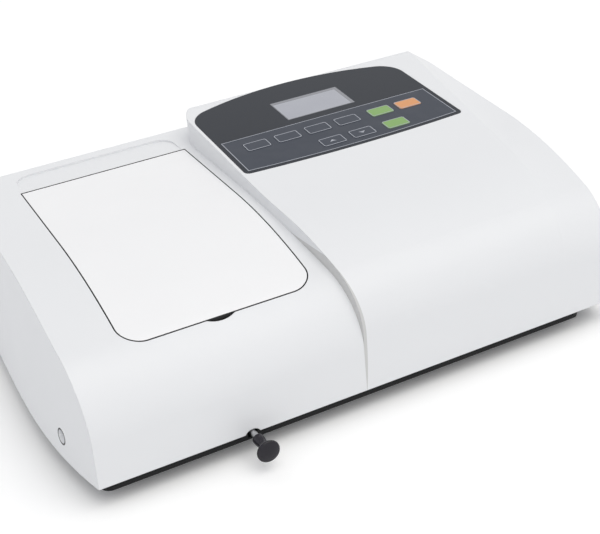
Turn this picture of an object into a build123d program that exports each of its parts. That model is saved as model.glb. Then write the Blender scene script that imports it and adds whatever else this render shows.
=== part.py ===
"""Visible spectrophotometer: a white bench casing with a sample lid on the left and a
raised control belt on the right, built as separate pieces in millimetres.
X runs to the right, Y to the rear and Z up. The origin is on the table, under the middle."""

import os
from math import asin, cos, degrees, radians, sin, sqrt, tan

from build123d import *

os.makedirs("parts", exist_ok=True)

# Overall sizes of the casing
width = 480.0
cover_depth = 328.0
knob_reach = 27.0
foot_height = 12.0
tray_plate = 1.5
tray_strip = 5.0
wall = 3.0
side_bulge = 15.0
cheek_lean = 4.4
seat_gap = 0.3
slide_gap = 0.2
pin_gap = 0.05

left = -width / 2
corner_x = left + side_bulge
front_y = knob_reach / 2 - cover_depth / 2
rear_y = front_y + cover_depth
tray_top = foot_height + tray_plate
cover_z = foot_height + tray_strip
envelope_height = 130.0

# Side profiles: a straight front, a nose arc, a roof arc and a straight roof
low_profile = (36.0, 50.0, 15.5, 470.0, 0.0)
belt_profile = (48.0, 45.0, 25.0, 200.0, 5.3)
end_profile = (42.0, 48.0, 18.0, 420.0, 0.0)
rear_round = 14.0

# Plan of the raised belt and of the flared right end
belt_left_front = corner_x + 204.5
belt_left = corner_x + 193.5
belt_straight_y = front_y + 153.0
belt_rear = front_y + 309.0
belt_corner = 38.0
crease_front = corner_x + 379.0
crease_slope = 0.16
end_front = corner_x + 418.0
end_rear = corner_x + 448.0
end_foot_front = corner_x + 424.0
crease_middle = (crease_front + crease_slope * cover_depth / 2, front_y + cover_depth / 2, cover_z + 50)

# Lid, its pocket and its hinge
lid_left = corner_x + 42.0
lid_width = 143.0
lid_front = front_y + 29.3
lid_length = 241.0
lid_radius = 17.0
lid_thickness = 3.0
lid_gap = 0.8
lid_rest = 0.2
seal_thickness = 1.2
ledge = 8.0
ledge_depth = 4.0
ledge_lap = 6.0
rib_inset = 9.5
rib_wall = 1.5
rib_depth = 4.0
barrel_radius = 2.25
pin_radius = 1.0
pin_length = 10.0
pin_seat = 5.0
hinge_clear = 6.0
scoop_length = 34.0
scoop_tilt = 3.0
scoop_radius = 15.0
finger_radius = 22.0
finger_reach = 3.5
finger_depth = 5.0
lid_rear = lid_front + lid_length
lid_middle = lid_left + lid_width / 2
lid_slant = lid_thickness + seal_thickness + lid_rest

# Sample compartment, carriage and rod
box_wall = 2.0
box_floor = 0.7
pocket = 12.7
pocket_pitch = 17.0
pocket_count = 4
pocket_depth = 32.0
carriage_wall = 3.0
beam_z = 37.0
beam_y = front_y + 123.0
port_radius = 6.0
rod_radius = 2.5
rod_z = cover_z
rod_x = lid_middle - 0.5
knob_radius = 8.5
knob_neck = 3.6
knob_rim = 3.6
knob_dome = 1.2
knob_round = 1.6
knob_bulge = 0.54
knob_length = 19.0
rail_width = 4.0
rail_height = 2.0
rail_spread = 12.0
notch_radius = 6.4
carriage_width = 36.0
carriage_base = 6.0
window_width = 6.0
window_height = 14.0
seal_inset = 0.5

# Control panel, display and keys
panel_left = corner_x + 196.5
panel_width = 202.0
panel_front = front_y + 164.0
panel_length = 134.5
panel_bow = 4.0
panel_rear_radius = 24.0
rear_bow = 20.0
panel_gap = 0.2
board_drop = 9.0
board_left = 12.0
board_front = 10.0
board_width = 178.0
board_length = 104.0
board_sheet = 1.6
post_radius = 3.0
display_lip = 2.0
stem_width = 11.0
stem_length = 6.0
panel_front_radius = 5.0
panel_sheet = 1.0
key_width = 21.0
key_length = 13.5
key_gap = 0.25
key_proud = 0.3
key_travel = 0.5
key_column = 28.0
key_row = 26.0
first_key_x = corner_x + 225.0
first_key_y = front_y + 203.5
display_width = 64.5
display_length = 36.0
display_x = corner_x + 299.3
display_y = front_y + 248.0

# Optics on the right of the sample compartment
mono_left = corner_x + 207.0
mono_width = 138.0
mono_front = front_y + 45.0
mono_length = 160.0
mono_wall = 4.0
mono_height = 46.0
mono_lid = 2.5
mono_middle = mono_left + mono_width / 2
slit_y = mono_front + 120.0
slit_sheet = 1.5
grating_x = mono_left + 95.0
grating_y = mono_front + 60.0
grating_size = 25.0
grating_sheet = 6.0
table_radius = 17.0
table_height = 5.0
shaft_radius = 3.0
motor_radius = 8.0
motor_length = 9.0
wheel_shaft = 2.0
wheel_stand = 13.0
wheel_radius = 20.0
wheel_sheet = 1.5
wheel_y_offset = 13.0
filter_count = 6
wheel_y = beam_y + wheel_y_offset
wheel_z = beam_z
lamp_x = mono_left + mono_width + 40.0
lamp_width = 44.0
lamp_length = 56.0
lamp_height = 52.0
lamp_wall = 1.2
lamp_radius = 4.5
bulb_height = 22.0
lens_radius = 9.0
lens_depth = 8.0
lens_edge = 2.0
lens_crown = 4.2
detector_depth = 30.0
detector_width = 46.0
detector_height = 44.0
board_post = 8.0
main_board_x = corner_x + 285.0
main_board_y = front_y + 243.0
main_board_width = 120.0
main_board_length = 60.0
supply_x = corner_x + 388.0
supply_y = front_y + 243.0
supply_width = 70.0
supply_length = 66.0
supply_height = 34.0

# Rear panel and what it carries
rear_left = corner_x + 232.0
rear_width = 190.0
rear_height = 62.0
rear_bottom = 24.0
rear_sheet = 2.0
rear_lap = 6.0
fan_size = 60.0
fan_depth = 15.0
fan_web = 3.0
hub_radius = 13.0
axle_radius = 1.5
rotor_depth = 10.0
blade_count = 7
inlet_width = 27.5
inlet_height = 20.0
inlet_depth = 24.0
socket_depth = 15.0
switch_width = 20.0
switch_tall = 15.0
switch_deep = 18.0
rocker_width = 14.0
rocker_half = 5.4
fuse_radius = 6.0
port_width = 20.0
port_tall = 10.0
fan_x = rear_left + 36.0
inlet_x = rear_left + 165.0
fuse_x = rear_left + 120.0
inlet_z = rear_bottom + 17.0
switch_z = rear_bottom + 47.0
fan_z = rear_bottom + 31.0

# Base tray, feet, brackets and screw heads
tray_front_width = 392.0
tray_shoulder = 34.0
tray_corner = 8.0
tray_rim = 2.0
foot_radius = 11.0
foot_well = 5.0
foot_web = 3.0
foot_inset = 34.0
foot_names = ["foot_front_left", "foot_front_right", "foot_rear_left", "foot_rear_right"]
bracket_sheet = 2.0
bracket_width = 18.0
bracket_foot = 14.0
head_radius = 4.5
head_height = 2.6
key_round = 2.0
switch_size = 6.0
switch_height = 3.9
lamp_y = front_y + 165.0
foot_places = [
    (corner_x + side, y)
    for y in (front_y + foot_inset, rear_y - foot_inset)
    for side in (foot_inset, tray_front_width - foot_inset)
]

screw_radius = 1.5
screw_inset = 48.0
screw_rise = 17.4
boss_radius = 7.0
boss_length = 14.0
recess_radius = 5.0
recess_depth = 6.0
notch_drop = 3.0


def roof_point(profile, inset, angle):
    """A point of the profile's nose or roof arc, and the centre it turns about."""
    front, nose, nose_angle, roof, _ = profile
    middle_y = front_y + nose
    middle_z = cover_z + front
    if angle > nose_angle:
        reach = nose - inset
    else:
        middle_y += (roof - nose) * sin(radians(nose_angle))
        middle_z -= (roof - nose) * cos(radians(nose_angle))
        reach = roof - inset
    y = middle_y - reach * sin(radians(angle))
    z = middle_z + reach * cos(radians(angle))
    return y, z, middle_y, middle_z


def roof_height(profile, y):
    """Height of the outer surface of a profile at a place on its roof arc or roof."""
    _, nose, nose_angle, roof, tilt = profile
    end_y, end_z, middle_y, middle_z = roof_point(profile, 0, tilt)
    if y >= end_y:
        return end_z + (y - end_y) * tan(radians(tilt))
    return middle_z + sqrt(roof**2 - (middle_y - y) ** 2)


def profile_face(profile, inset, back, corner):
    """The closed side profile as a flat face, its X along the depth and its Y upwards."""
    front, nose, nose_angle, roof, tilt = profile
    _, _, nose_y, nose_z = roof_point(profile, inset, 90)
    end_y, end_z, roof_y, roof_z = roof_point(profile, inset, tilt)
    back_y = back - inset
    back_z = end_z + (back_y - end_y) * tan(radians(tilt))
    with BuildSketch() as side:
        with BuildLine():
            Line((front_y + inset, cover_z), (front_y + inset, nose_z))
            CenterArc((nose_y, nose_z), nose - inset, 180, nose_angle - 90)
            CenterArc((roof_y, roof_z), roof - inset, 90 + nose_angle, tilt - nose_angle)
            Line((end_y, end_z), (back_y, back_z))
            Line((back_y, back_z), (back_y, cover_z))
            Line((back_y, cover_z), (front_y + inset, cover_z))
        make_face()
        tip = side.vertices().sort_by_distance(Vector(back_y, back_z))[0]
        fillet(tip, corner - inset)
    return side.sketch


def envelope(inset):
    """The space between the leaning left cheek and the flared right end."""
    with BuildPart() as body:
        with BuildSketch(Plane.XY.offset(cover_z)):
            with BuildLine():
                bulge = Spline(
                    (corner_x + inset, front_y + inset),
                    (corner_x + inset - 0.78 * side_bulge, front_y + 0.19 * cover_depth),
                    (left + inset, front_y + 0.47 * cover_depth),
                    (left + inset, rear_y - inset),
                )
                Line(bulge @ 1, (-left - inset, rear_y - inset))
                Line((-left - inset, rear_y - inset), (end_foot_front - inset, front_y + inset))
                Line((end_foot_front - inset, front_y + inset), bulge @ 0)
            make_face()
        with BuildSketch(Plane.XY.offset(cover_z + envelope_height)):
            with BuildLine():
                Polyline(
                    (corner_x + cheek_lean + inset, front_y + inset),
                    (corner_x + cheek_lean + inset, rear_y - inset),
                    (end_rear - inset, rear_y - inset),
                    (end_front - inset, front_y + inset),
                    close=True,
                )
            make_face()
        loft(ruled=True)
    return body.part


def low_body(inset):
    """The low layer that carries the lid and runs under the belt."""
    with BuildPart() as body:
        with BuildSketch(Plane.YZ.offset(left)):
            add(profile_face(low_profile, inset, rear_y, rear_round))
        extrude(amount=width)
        add(envelope(inset), mode=Mode.INTERSECT)
    return body.part


def belt_plan(inset):
    """Plan of the belt, from its left step to the crease on its right."""
    arc_drop = belt_left_front - belt_left
    arc_run = belt_straight_y - front_y
    sweep_radius = (arc_run**2 + arc_drop**2) / (2 * arc_drop)
    crease_rear = crease_front + crease_slope * (belt_rear - front_y)
    foot = (belt_left_front + inset, front_y)
    turn = (belt_left + inset, belt_straight_y)
    back = (belt_left + inset, belt_rear - inset)
    with BuildSketch() as plan:
        with BuildLine():
            RadiusArc(foot, turn, sweep_radius)
            Line(turn, back)
            Line(back, (crease_rear, belt_rear - inset))
            Line((crease_rear, belt_rear - inset), (crease_front, front_y))
            Line((crease_front, front_y), foot)
        make_face()
        tip = plan.vertices().sort_by_distance(Vector(*back))[0]
        fillet(tip, belt_corner - inset)
    return plan.sketch


def belt(inset):
    """The raised belt, cut to its plan."""
    with BuildPart() as body:
        with BuildSketch(Plane.YZ.offset(left)):
            add(profile_face(belt_profile, inset, belt_rear, rear_round))
        extrude(amount=width)
        with BuildSketch(Plane.XY.offset(cover_z)):
            add(belt_plan(inset))
        extrude(amount=envelope_height, mode=Mode.INTERSECT)
    return body.part


def right_slope(inset):
    """The slope that falls from the belt's crease to the flared right end."""
    flare = Vector((end_rear - end_front) / cover_depth, 1, 0).normalized()
    end_side = Plane((end_foot_front, front_y, 0), x_dir=flare, z_dir=flare.cross(Vector(0, 0, 1)))
    crease_face = belt(inset).faces().filter_by(GeomType.PLANE).sort_by_distance(crease_middle)[0]
    with BuildPart() as body:
        with BuildSketch(end_side):
            with Locations((-front_y, 0)):
                add(profile_face(end_profile, inset, belt_rear, rear_round))
        end_face = body.pending_faces[0]
        body.pending_faces.clear()
        loft(sections=[crease_face, end_face], ruled=True)
        add(envelope(inset), mode=Mode.INTERSECT)
    return body.part


def casing(inset):
    """The whole casing as one closed form, its faces moved in by the inset."""
    with BuildPart() as body:
        add(low_body(inset))
        add(belt(inset))
        add(right_slope(inset))
    return body.part




def box_top():
    """The compartment's upper walls, trimmed to lie just under the casing's ledge."""
    with BuildPart() as top:
        add(low_body(lid_slant + ledge_depth + seat_gap))
        with BuildSketch(Plane.XY.offset(box_split)):
            with Locations((lid_middle, box_middle_y)):
                Rectangle(box_width, box_rear - box_front)
        extrude(amount=envelope_height, mode=Mode.INTERSECT)
    return top.part


def lid_plan(grow):
    """Plan of the lid: square at the hinge, round at its front corners."""
    with BuildSketch() as plan:
        with Locations((lid_middle, lid_front + lid_length / 2)):
            Rectangle(lid_width + 2 * grow, lid_length + 2 * grow)
        fillet(plan.vertices().group_by(Axis.Y)[0], lid_radius + grow)
    return plan.sketch


def lid_layer(grow, top, bottom):
    """A layer under the low roof between two depths, cut to the lid's plan."""
    with BuildPart() as layer:
        add(low_body(top))
        add(low_body(bottom), mode=Mode.SUBTRACT)
        with BuildSketch(Plane.XY.offset(cover_z)):
            add(lid_plan(grow))
        extrude(amount=envelope_height, mode=Mode.INTERSECT)
    return layer.part


def finger_cut():
    """The crescent that a fingertip uses to lift the lid."""
    with BuildPart() as cut:
        with BuildSketch(Plane.XY.offset(cover_z)):
            with Locations((lid_middle - 2, lid_front - finger_reach + finger_radius)):
                Circle(finger_radius)
            with Locations((lid_middle, lid_front + finger_radius + ledge / 2)):
                Rectangle(4 * finger_radius, 2 * finger_radius, mode=Mode.SUBTRACT)
        extrude(amount=envelope_height)
        add(low_body(finger_depth), mode=Mode.SUBTRACT)
    return cut.part


def screw_boss(face_x, side, y):
    """The boss behind a side screw, trimmed to the casing's outside."""
    with BuildPart() as boss:
        with Locations((face_x - side * boss_length, y, screw_z)):
            Cylinder(boss_radius, 2 * boss_length, rotation=(0, side * 90, 0), align=(Align.CENTER, Align.CENTER, Align.MIN))
        add(outer_form, mode=Mode.INTERSECT)
    return boss.part


def board_corners(margin):
    """Four places inside the keypad board's corners, on the panel plane."""
    x0 = panel_left + board_left + margin
    x1 = panel_left + board_left + board_width - margin
    y0 = board_front + margin
    y1 = board_front + board_length - margin
    return [(x0, y0), (x1, y0), (x0, y1), (x1, y1)]


def write(piece, label):
    """Label a finished piece and write its file."""
    piece.label = label
    export_step(piece, f"parts/{label}.step")


def right_side(y):
    """Where the right end's foot lies at a depth."""
    return end_foot_front + (-left - end_foot_front) * (y - front_y) / cover_depth


def left_side(y):
    """Roughly where the left cheek's foot lies at a depth."""
    run = min(1.0, (y - front_y) / (0.47 * cover_depth))
    return corner_x - side_bulge * run * (2 - run)


tilt = radians(belt_profile[4])
panel_plane = Plane(
    origin=(0, panel_front, roof_height(belt_profile, panel_front)),
    x_dir=(1, 0, 0),
    z_dir=(0, -sin(tilt), cos(tilt)),
)
pivot_y = lid_rear - barrel_radius
roof_z = roof_height(low_profile, pivot_y)
pivot_z = roof_z - barrel_radius


def on_panel(y):
    """Distance up the tilted panel for a depth seen in plan."""
    return (y - panel_front) / cos(tilt)


def panel_outline(shrink):
    """Outline of the control panel: bowed front, round rear."""
    x0 = panel_left + shrink
    x1 = panel_left + panel_width - shrink
    middle = panel_left + panel_width / 2
    rear_line = panel_length - rear_bow
    with BuildSketch() as outline:
        with BuildLine():
            ThreePointArc((x0, shrink), (middle, shrink - panel_bow), (x1, shrink))
            Line((x1, shrink), (x1, rear_line - shrink))
            ThreePointArc((x1, rear_line - shrink), (middle, panel_length - shrink), (x0, rear_line - shrink))
            Line((x0, rear_line - shrink), (x0, shrink))
        make_face()
        fillet(outline.vertices().group_by(Axis.Y)[-1], panel_rear_radius - shrink)
        fillet(outline.vertices().group_by(Axis.Y)[0], panel_front_radius)
    return outline.sketch


key_places = [
    (first_key_x + column * key_column, first_key_y) for column in range(4)
] + [
    (first_key_x + 2 * key_column, first_key_y - key_row),
    (first_key_x + 3 * key_column, first_key_y - key_row),
    (first_key_x + 4 * key_column + 4, first_key_y),
    (first_key_x + 4 * key_column + 4, first_key_y - key_row),
    (first_key_x + 5 * key_column + 3, first_key_y),
]
display_place = (display_x, on_panel(display_y))
side_screws = [
    (side, y)
    for side in (-1, 1)
    for y in (front_y + screw_inset, rear_y - screw_inset)
]
screw_z = cover_z + screw_rise
rear_middle = rear_left + rear_width / 2
rear_level = rear_bottom + rear_height / 2
box_left = lid_left + ledge - box_wall
box_width = lid_width - 2 * ledge + 2 * box_wall
box_front = lid_front + ledge - box_wall
box_rear = lid_rear - hinge_clear + box_wall
box_middle_y = (box_front + box_rear) / 2
box_split = tray_top + 35
floor_z = tray_top + box_floor
carriage_z = floor_z + seat_gap
carriage_length = (pocket_count - 1) * pocket_pitch + pocket + 2 * carriage_wall
carriage_front = beam_y - pocket / 2 - carriage_wall
carriage_middle = carriage_front + carriage_length / 2
knob_back = front_y - knob_reach + knob_length

outer_form = casing(0)

# White casing with its lid pocket, scoop, panel recess and openings
with BuildPart() as main_cover:
    add(outer_form)
    add(casing(wall), mode=Mode.SUBTRACT)
    add(lid_layer(ledge_lap, wall, lid_slant + ledge_depth))
    with BuildSketch(Plane.XY.offset(cover_z)):
        with Locations((lid_middle, (lid_front + ledge + lid_rear + lid_gap) / 2)):
            Rectangle(lid_width - 2 * ledge, lid_length - ledge + lid_gap)
    extrude(amount=envelope_height, mode=Mode.SUBTRACT)
    with BuildSketch(Plane.XY.offset(cover_z)):
        with Locations((lid_middle, lid_rear + lid_gap - (hinge_clear + lid_gap) / 2)):
            Rectangle(lid_width + 2 * lid_gap, hinge_clear + lid_gap)
    extrude(amount=envelope_height, mode=Mode.SUBTRACT)
    add(lid_layer(lid_gap, -1.0, lid_slant), mode=Mode.SUBTRACT)
    add(finger_cut(), mode=Mode.SUBTRACT)
    # Shallow scoop behind the lid
    with BuildSketch(Plane((lid_middle, lid_rear + lid_gap, roof_z), x_dir=(1, 0, 0), z_dir=(0, sin(radians(scoop_tilt)), cos(radians(scoop_tilt))))):
        with Locations((0, scoop_length / 2)):
            Rectangle(lid_width - 4, scoop_length)
        fillet(vertices().group_by(Axis.Y)[-1], scoop_radius)
    extrude(amount=wall, mode=Mode.SUBTRACT)
    # Seats of the two hinge pins
    with Locations((lid_left - lid_gap - pin_seat, pivot_y, pivot_z)):
        Cylinder(pin_radius, pin_seat, rotation=(0, 90, 0), align=(Align.CENTER, Align.CENTER, Align.MIN), mode=Mode.SUBTRACT)
    with Locations((lid_left + lid_width + lid_gap, pivot_y, pivot_z)):
        Cylinder(pin_radius, pin_seat, rotation=(0, 90, 0), align=(Align.CENTER, Align.CENTER, Align.MIN), mode=Mode.SUBTRACT)
    # Recess for the panel, with windows for the display and the key stems
    with BuildSketch(panel_plane.offset(-panel_sheet)):
        add(panel_outline(-panel_gap))
    extrude(amount=panel_sheet + 2, mode=Mode.SUBTRACT)
    with BuildSketch(panel_plane):
        with Locations(display_place):
            Rectangle(display_width - 2 * display_lip, display_length - 2 * display_lip)
        with Locations(*[(x, on_panel(y)) for x, y in key_places]):
            Rectangle(stem_width + 2 * key_gap, stem_length + 2 * key_gap)
    extrude(amount=-2 * wall, mode=Mode.SUBTRACT)
    # Posts that carry the keypad board
    with BuildSketch(panel_plane.offset(-board_drop)):
        with Locations(*board_corners(post_radius + 2)):
            Circle(post_radius)
            Circle(screw_radius, mode=Mode.SUBTRACT)
    extrude(amount=board_drop - wall)
    # Side screw bosses with their deep round recesses
    for side, y in side_screws:
        face_x = left_side(y) if side < 0 else right_side(y)
        add(screw_boss(face_x, side, y))
        with Locations((face_x - side * recess_depth, y, screw_z)):
            Cylinder(recess_radius, boss_length, rotation=(0, side * 90, 0), align=(Align.CENTER, Align.CENTER, Align.MIN), mode=Mode.SUBTRACT)
        with Locations((face_x, y, screw_z)):
            Cylinder(screw_radius + slide_gap, 4 * boss_length, rotation=(0, 90, 0), mode=Mode.SUBTRACT)
    # Arch for the pull rod and window for the rear panel
    with Locations((rod_x, front_y, cover_z - notch_drop)):
        Cylinder(notch_radius, 4 * wall, rotation=(90, 0, 0), mode=Mode.SUBTRACT)
    with Locations((rear_middle, rear_y, rear_level)):
        Box(rear_width, 4 * wall, rear_height, mode=Mode.SUBTRACT)
write(main_cover.part, "main_cover")


# Lid: a curved slab with a barrel along its rear edge and a light rib below
with BuildPart() as lid:
    add(lid_layer(0, 0, lid_thickness))
    rear_top = lid.edges().filter_by(Axis.X).sort_by_distance((lid_middle, lid_rear, roof_z))[0]
    fillet(rear_top, 1.0)
    add(lid_layer(-rib_inset, lid_thickness, lid_thickness + rib_depth))
    add(lid_layer(-rib_inset - rib_wall, lid_thickness, lid_thickness + 2 * rib_depth), mode=Mode.SUBTRACT)
    with Locations((lid_middle, pivot_y, pivot_z)):
        Cylinder(barrel_radius, lid_width, rotation=(0, 90, 0))
        Cylinder(pin_radius + pin_gap, lid_width + 2, rotation=(0, 90, 0), mode=Mode.SUBTRACT)
write(lid.part, "lid")

# Steel pins in the casing that the lid turns on
with BuildPart() as hinge_pins:
    pin_reach = pin_length / 2 - lid_gap - pin_seat
    with Locations(
        (lid_left + pin_reach, pivot_y, pivot_z),
        (lid_left + lid_width - pin_reach, pivot_y, pivot_z),
    ):
        Cylinder(pin_radius, pin_length, rotation=(0, 90, 0))
write(hinge_pins.part, "hinge_pins")

# Soft black strip under the lid's edge
with BuildPart() as lid_seal:
    add(lid_layer(-seal_inset, lid_thickness + lid_rest, lid_slant))
    with BuildSketch(Plane.XY.offset(cover_z)):
        with Locations((lid_middle, (lid_front + ledge + lid_rear) / 2)):
            Rectangle(lid_width - 2 * ledge + 2, lid_length - ledge)
        with Locations((lid_middle, lid_rear - hinge_clear / 2)):
            Rectangle(lid_width, hinge_clear + 2)
        with Locations((lid_middle, lid_front)):
            Rectangle(2 * finger_radius, 2 * ledge)
    extrude(amount=envelope_height, mode=Mode.SUBTRACT)
write(lid_seal.part, "lid_seal")

# Black sample compartment with its two light ports and the rod's hole
with BuildPart() as sample_compartment:
    with BuildSketch(Plane.XY.offset(tray_top)):
        with Locations((lid_middle, box_middle_y)):
            Rectangle(box_width, box_rear - box_front)
    extrude(amount=envelope_height)
    with BuildSketch(Plane.XY.offset(box_split)):
        with Locations((lid_middle, box_middle_y)):
            Rectangle(2 * box_width, 2 * lid_length)
    extrude(amount=envelope_height, mode=Mode.SUBTRACT)
    add(box_top())
    with BuildSketch(Plane.XY.offset(floor_z)):
        with Locations((lid_middle, box_middle_y)):
            Rectangle(box_width - 2 * box_wall, box_rear - box_front - 2 * box_wall)
    extrude(amount=envelope_height, mode=Mode.SUBTRACT)
    with Locations((lid_middle, beam_y, beam_z)):
        Cylinder(port_radius, 2 * box_width, rotation=(0, 90, 0), mode=Mode.SUBTRACT)
    with Locations((rod_x, box_front, rod_z)):
        Cylinder(rod_radius + slide_gap, 4 * box_wall, rotation=(90, 0, 0), mode=Mode.SUBTRACT)
write(sample_compartment.part, "sample_compartment")

# Two rails on the compartment's floor
with BuildPart() as guide_rails:
    with Locations((rod_x - rail_spread, box_middle_y, floor_z), (rod_x + rail_spread, box_middle_y, floor_z)):
        Box(rail_width, box_rear - box_front - 2 * box_wall, rail_height, align=(Align.CENTER, Align.CENTER, Align.MIN))
write(guide_rails.part, "guide_rails")

# Four-cell carriage that runs on the rails
with BuildPart() as cuvette_carriage:
    with Locations((rod_x, carriage_middle, carriage_z)):
        Box(carriage_width, carriage_length, carriage_base, align=(Align.CENTER, Align.CENTER, Align.MIN))
    with Locations((rod_x, carriage_middle, carriage_z + carriage_base)):
        Box(pocket + 2 * carriage_wall, carriage_length, pocket_depth, align=(Align.CENTER, Align.CENTER, Align.MIN))
    with Locations((rod_x - rail_spread, carriage_middle, carriage_z), (rod_x + rail_spread, carriage_middle, carriage_z)):
        Box(
            rail_width + 2 * slide_gap,
            carriage_length,
            floor_z + rail_height + slide_gap - carriage_z,
            align=(Align.CENTER, Align.CENTER, Align.MIN),
            mode=Mode.SUBTRACT,
        )
    with Locations(*[(rod_x, beam_y + number * pocket_pitch, carriage_z + carriage_base + 2) for number in range(pocket_count)]):
        Box(pocket, pocket, pocket_depth, align=(Align.CENTER, Align.CENTER, Align.MIN), mode=Mode.SUBTRACT)
    with Locations(*[(rod_x, beam_y + number * pocket_pitch, beam_z) for number in range(pocket_count)]):
        Box(carriage_width, window_width, window_height, mode=Mode.SUBTRACT)
write(cuvette_carriage.part, "cuvette_carriage")

# Steel rod from the carriage to the knob
with BuildPart() as pull_rod:
    with BuildSketch(Plane((rod_x, carriage_front, rod_z), x_dir=(1, 0, 0), z_dir=(0, -1, 0))):
        Circle(rod_radius)
    extrude(amount=carriage_front - knob_back)
write(pull_rod.part, "pull_rod")

# Black knob: a round head on a waisted neck
knob_edge = (knob_radius - knob_bulge, knob_rim - knob_length)
knob_lip = (knob_radius - knob_bulge, knob_dome - knob_length)
dome_ball = (knob_lip[0] ** 2 + knob_dome**2) / (2 * knob_dome)
dome_turn = degrees(asin(knob_lip[0] / dome_ball))
with BuildPart() as rod_knob:
    with BuildSketch(Plane((rod_x, knob_back, rod_z), x_dir=(1, 0, 0), z_dir=(0, 0, 1))):
        with BuildLine():
            Line((0, 0), (knob_neck + 0.6, 0))
            Line((knob_neck + 0.6, 0), (knob_neck + 0.6, -2))
            Spline((knob_neck + 0.6, -2), (knob_neck, -0.45 * knob_length), knob_edge, tangents=((0, -1), (1, -0.35)))
            RadiusArc(knob_edge, knob_lip, knob_round)
            CenterArc((0, dome_ball - knob_length), dome_ball, 270 + dome_turn, -dome_turn)
            Line((0, -knob_length), (0, 0))
        make_face()
    revolve(axis=Axis((rod_x, knob_back, rod_z), (0, 1, 0)))
write(rod_knob.part, "rod_knob")


def tray_plan(shrink):
    """Plan of the base tray, a little inside the casing's foot."""
    with BuildSketch() as plan:
        with BuildLine():
            Polyline(
                (corner_x + 3 + shrink, front_y + 1 + shrink),
                (corner_x + tray_front_width - shrink, front_y + 1 + shrink),
                (right_side(front_y + tray_shoulder) - wall - shrink, front_y + tray_shoulder),
                (-left - wall - shrink, rear_y - wall - shrink),
                (left + wall + shrink, rear_y - wall - shrink),
                close=True,
            )
        make_face()
        fillet(plan.vertices(), tray_corner - shrink)
    return plan.sketch


# Black base tray with a low rim that the casing stands on
with BuildPart() as base_tray:
    with BuildSketch(Plane.XY.offset(foot_height)):
        add(tray_plan(0))
    extrude(amount=tray_strip)
    with BuildSketch(Plane.XY.offset(tray_top)):
        add(tray_plan(tray_rim))
    extrude(amount=tray_strip, mode=Mode.SUBTRACT)
    with Locations((rod_x, front_y, tray_top)):
        Box(2 * (rod_radius + slide_gap + 1), 8 * tray_rim, tray_strip, align=(Align.CENTER, Align.CENTER, Align.MIN), mode=Mode.SUBTRACT)
    with Locations(*[(x, y, tray_top) for x, y in foot_places]):
        Cylinder(screw_radius + slide_gap, 4 * tray_plate, mode=Mode.SUBTRACT)
    with BuildSketch(Plane.XY.offset(tray_top)):
        with Locations((lamp_x, lamp_y)):
            with GridLocations(8, 0, 5, 1):
                SlotOverall(28, 3.5, rotation=90)
    extrude(amount=-2 * tray_plate, mode=Mode.SUBTRACT)
write(base_tray.part, "base_tray")

# Four rubber feet, each with its screw well
for label, (x, y) in zip(foot_names, foot_places):
    with BuildPart() as foot:
        with BuildSketch(Plane.XY):
            with Locations((x, y)):
                Circle(foot_radius)
        extrude(amount=foot_height, taper=-6)
        with Locations((x, y, 0)):
            Cylinder(foot_well, foot_height - foot_web, align=(Align.CENTER, Align.CENTER, Align.MIN), mode=Mode.SUBTRACT)
            Cylinder(screw_radius + slide_gap, 4 * foot_height, mode=Mode.SUBTRACT)
        fillet(foot.edges().group_by(Axis.Z)[0].sort_by(SortBy.LENGTH)[-1], 1.5)
    write(foot.part, label)

with BuildPart() as foot_screws:
    with BuildSketch(Plane.XY.offset(foot_height - foot_web)):
        with Locations(*foot_places):
            Circle(foot_well - 1)
    extrude(amount=-2.5)
    with BuildSketch(Plane.XY.offset(foot_height - foot_web)):
        with Locations(*foot_places):
            Circle(screw_radius)
    extrude(amount=foot_web + tray_plate + 2)
write(foot_screws.part, "foot_screws")

# Steel tabs on the tray that the casing's side screws pull against
with BuildPart() as side_brackets:
    for side, y in side_screws:
        face_x = left_side(y) if side < 0 else right_side(y)
        inner_x = face_x - side * boss_length
        with Locations((inner_x - side * bracket_sheet / 2, y, tray_top)):
            Box(bracket_sheet, bracket_width, screw_z - tray_top + boss_radius, align=(Align.CENTER, Align.CENTER, Align.MIN))
        with Locations((inner_x - side * bracket_foot / 2, y, tray_top)):
            Box(bracket_foot, bracket_width, bracket_sheet, align=(Align.CENTER, Align.CENTER, Align.MIN))
        with Locations((inner_x, y, screw_z)):
            Cylinder(screw_radius + slide_gap, 6 * bracket_sheet, rotation=(0, 90, 0), mode=Mode.SUBTRACT)
write(side_brackets.part, "side_brackets")

# Pan-head screws at the bottom of the round side recesses
with BuildPart() as cover_screws:
    for side, y in side_screws:
        face_x = left_side(y) if side < 0 else right_side(y)
        head_x = face_x - side * recess_depth
        with BuildSketch(Plane((head_x, y, screw_z), x_dir=(0, 1, 0), z_dir=(side, 0, 0))):
            Circle(head_radius)
        extrude(amount=head_height)
        with BuildSketch(Plane((head_x, y, screw_z), x_dir=(0, 1, 0), z_dir=(-side, 0, 0))):
            Circle(screw_radius)
        extrude(amount=boss_length - recess_depth + bracket_sheet + 2)
        with Locations((head_x + side * head_height, y, screw_z)):
            Box(2, 1, 4.5, mode=Mode.SUBTRACT)
            Box(2, 4.5, 1, mode=Mode.SUBTRACT)
    fillet(cover_screws.edges().filter_by(GeomType.CIRCLE).filter_by(lambda e: abs(e.radius - head_radius) < 0.01).group_by(Axis.X)[0], 0.8)
    fillet(cover_screws.edges().filter_by(GeomType.CIRCLE).filter_by(lambda e: abs(e.radius - head_radius) < 0.01).group_by(Axis.X)[-1], 0.8)
write(cover_screws.part, "cover_screws")

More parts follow.
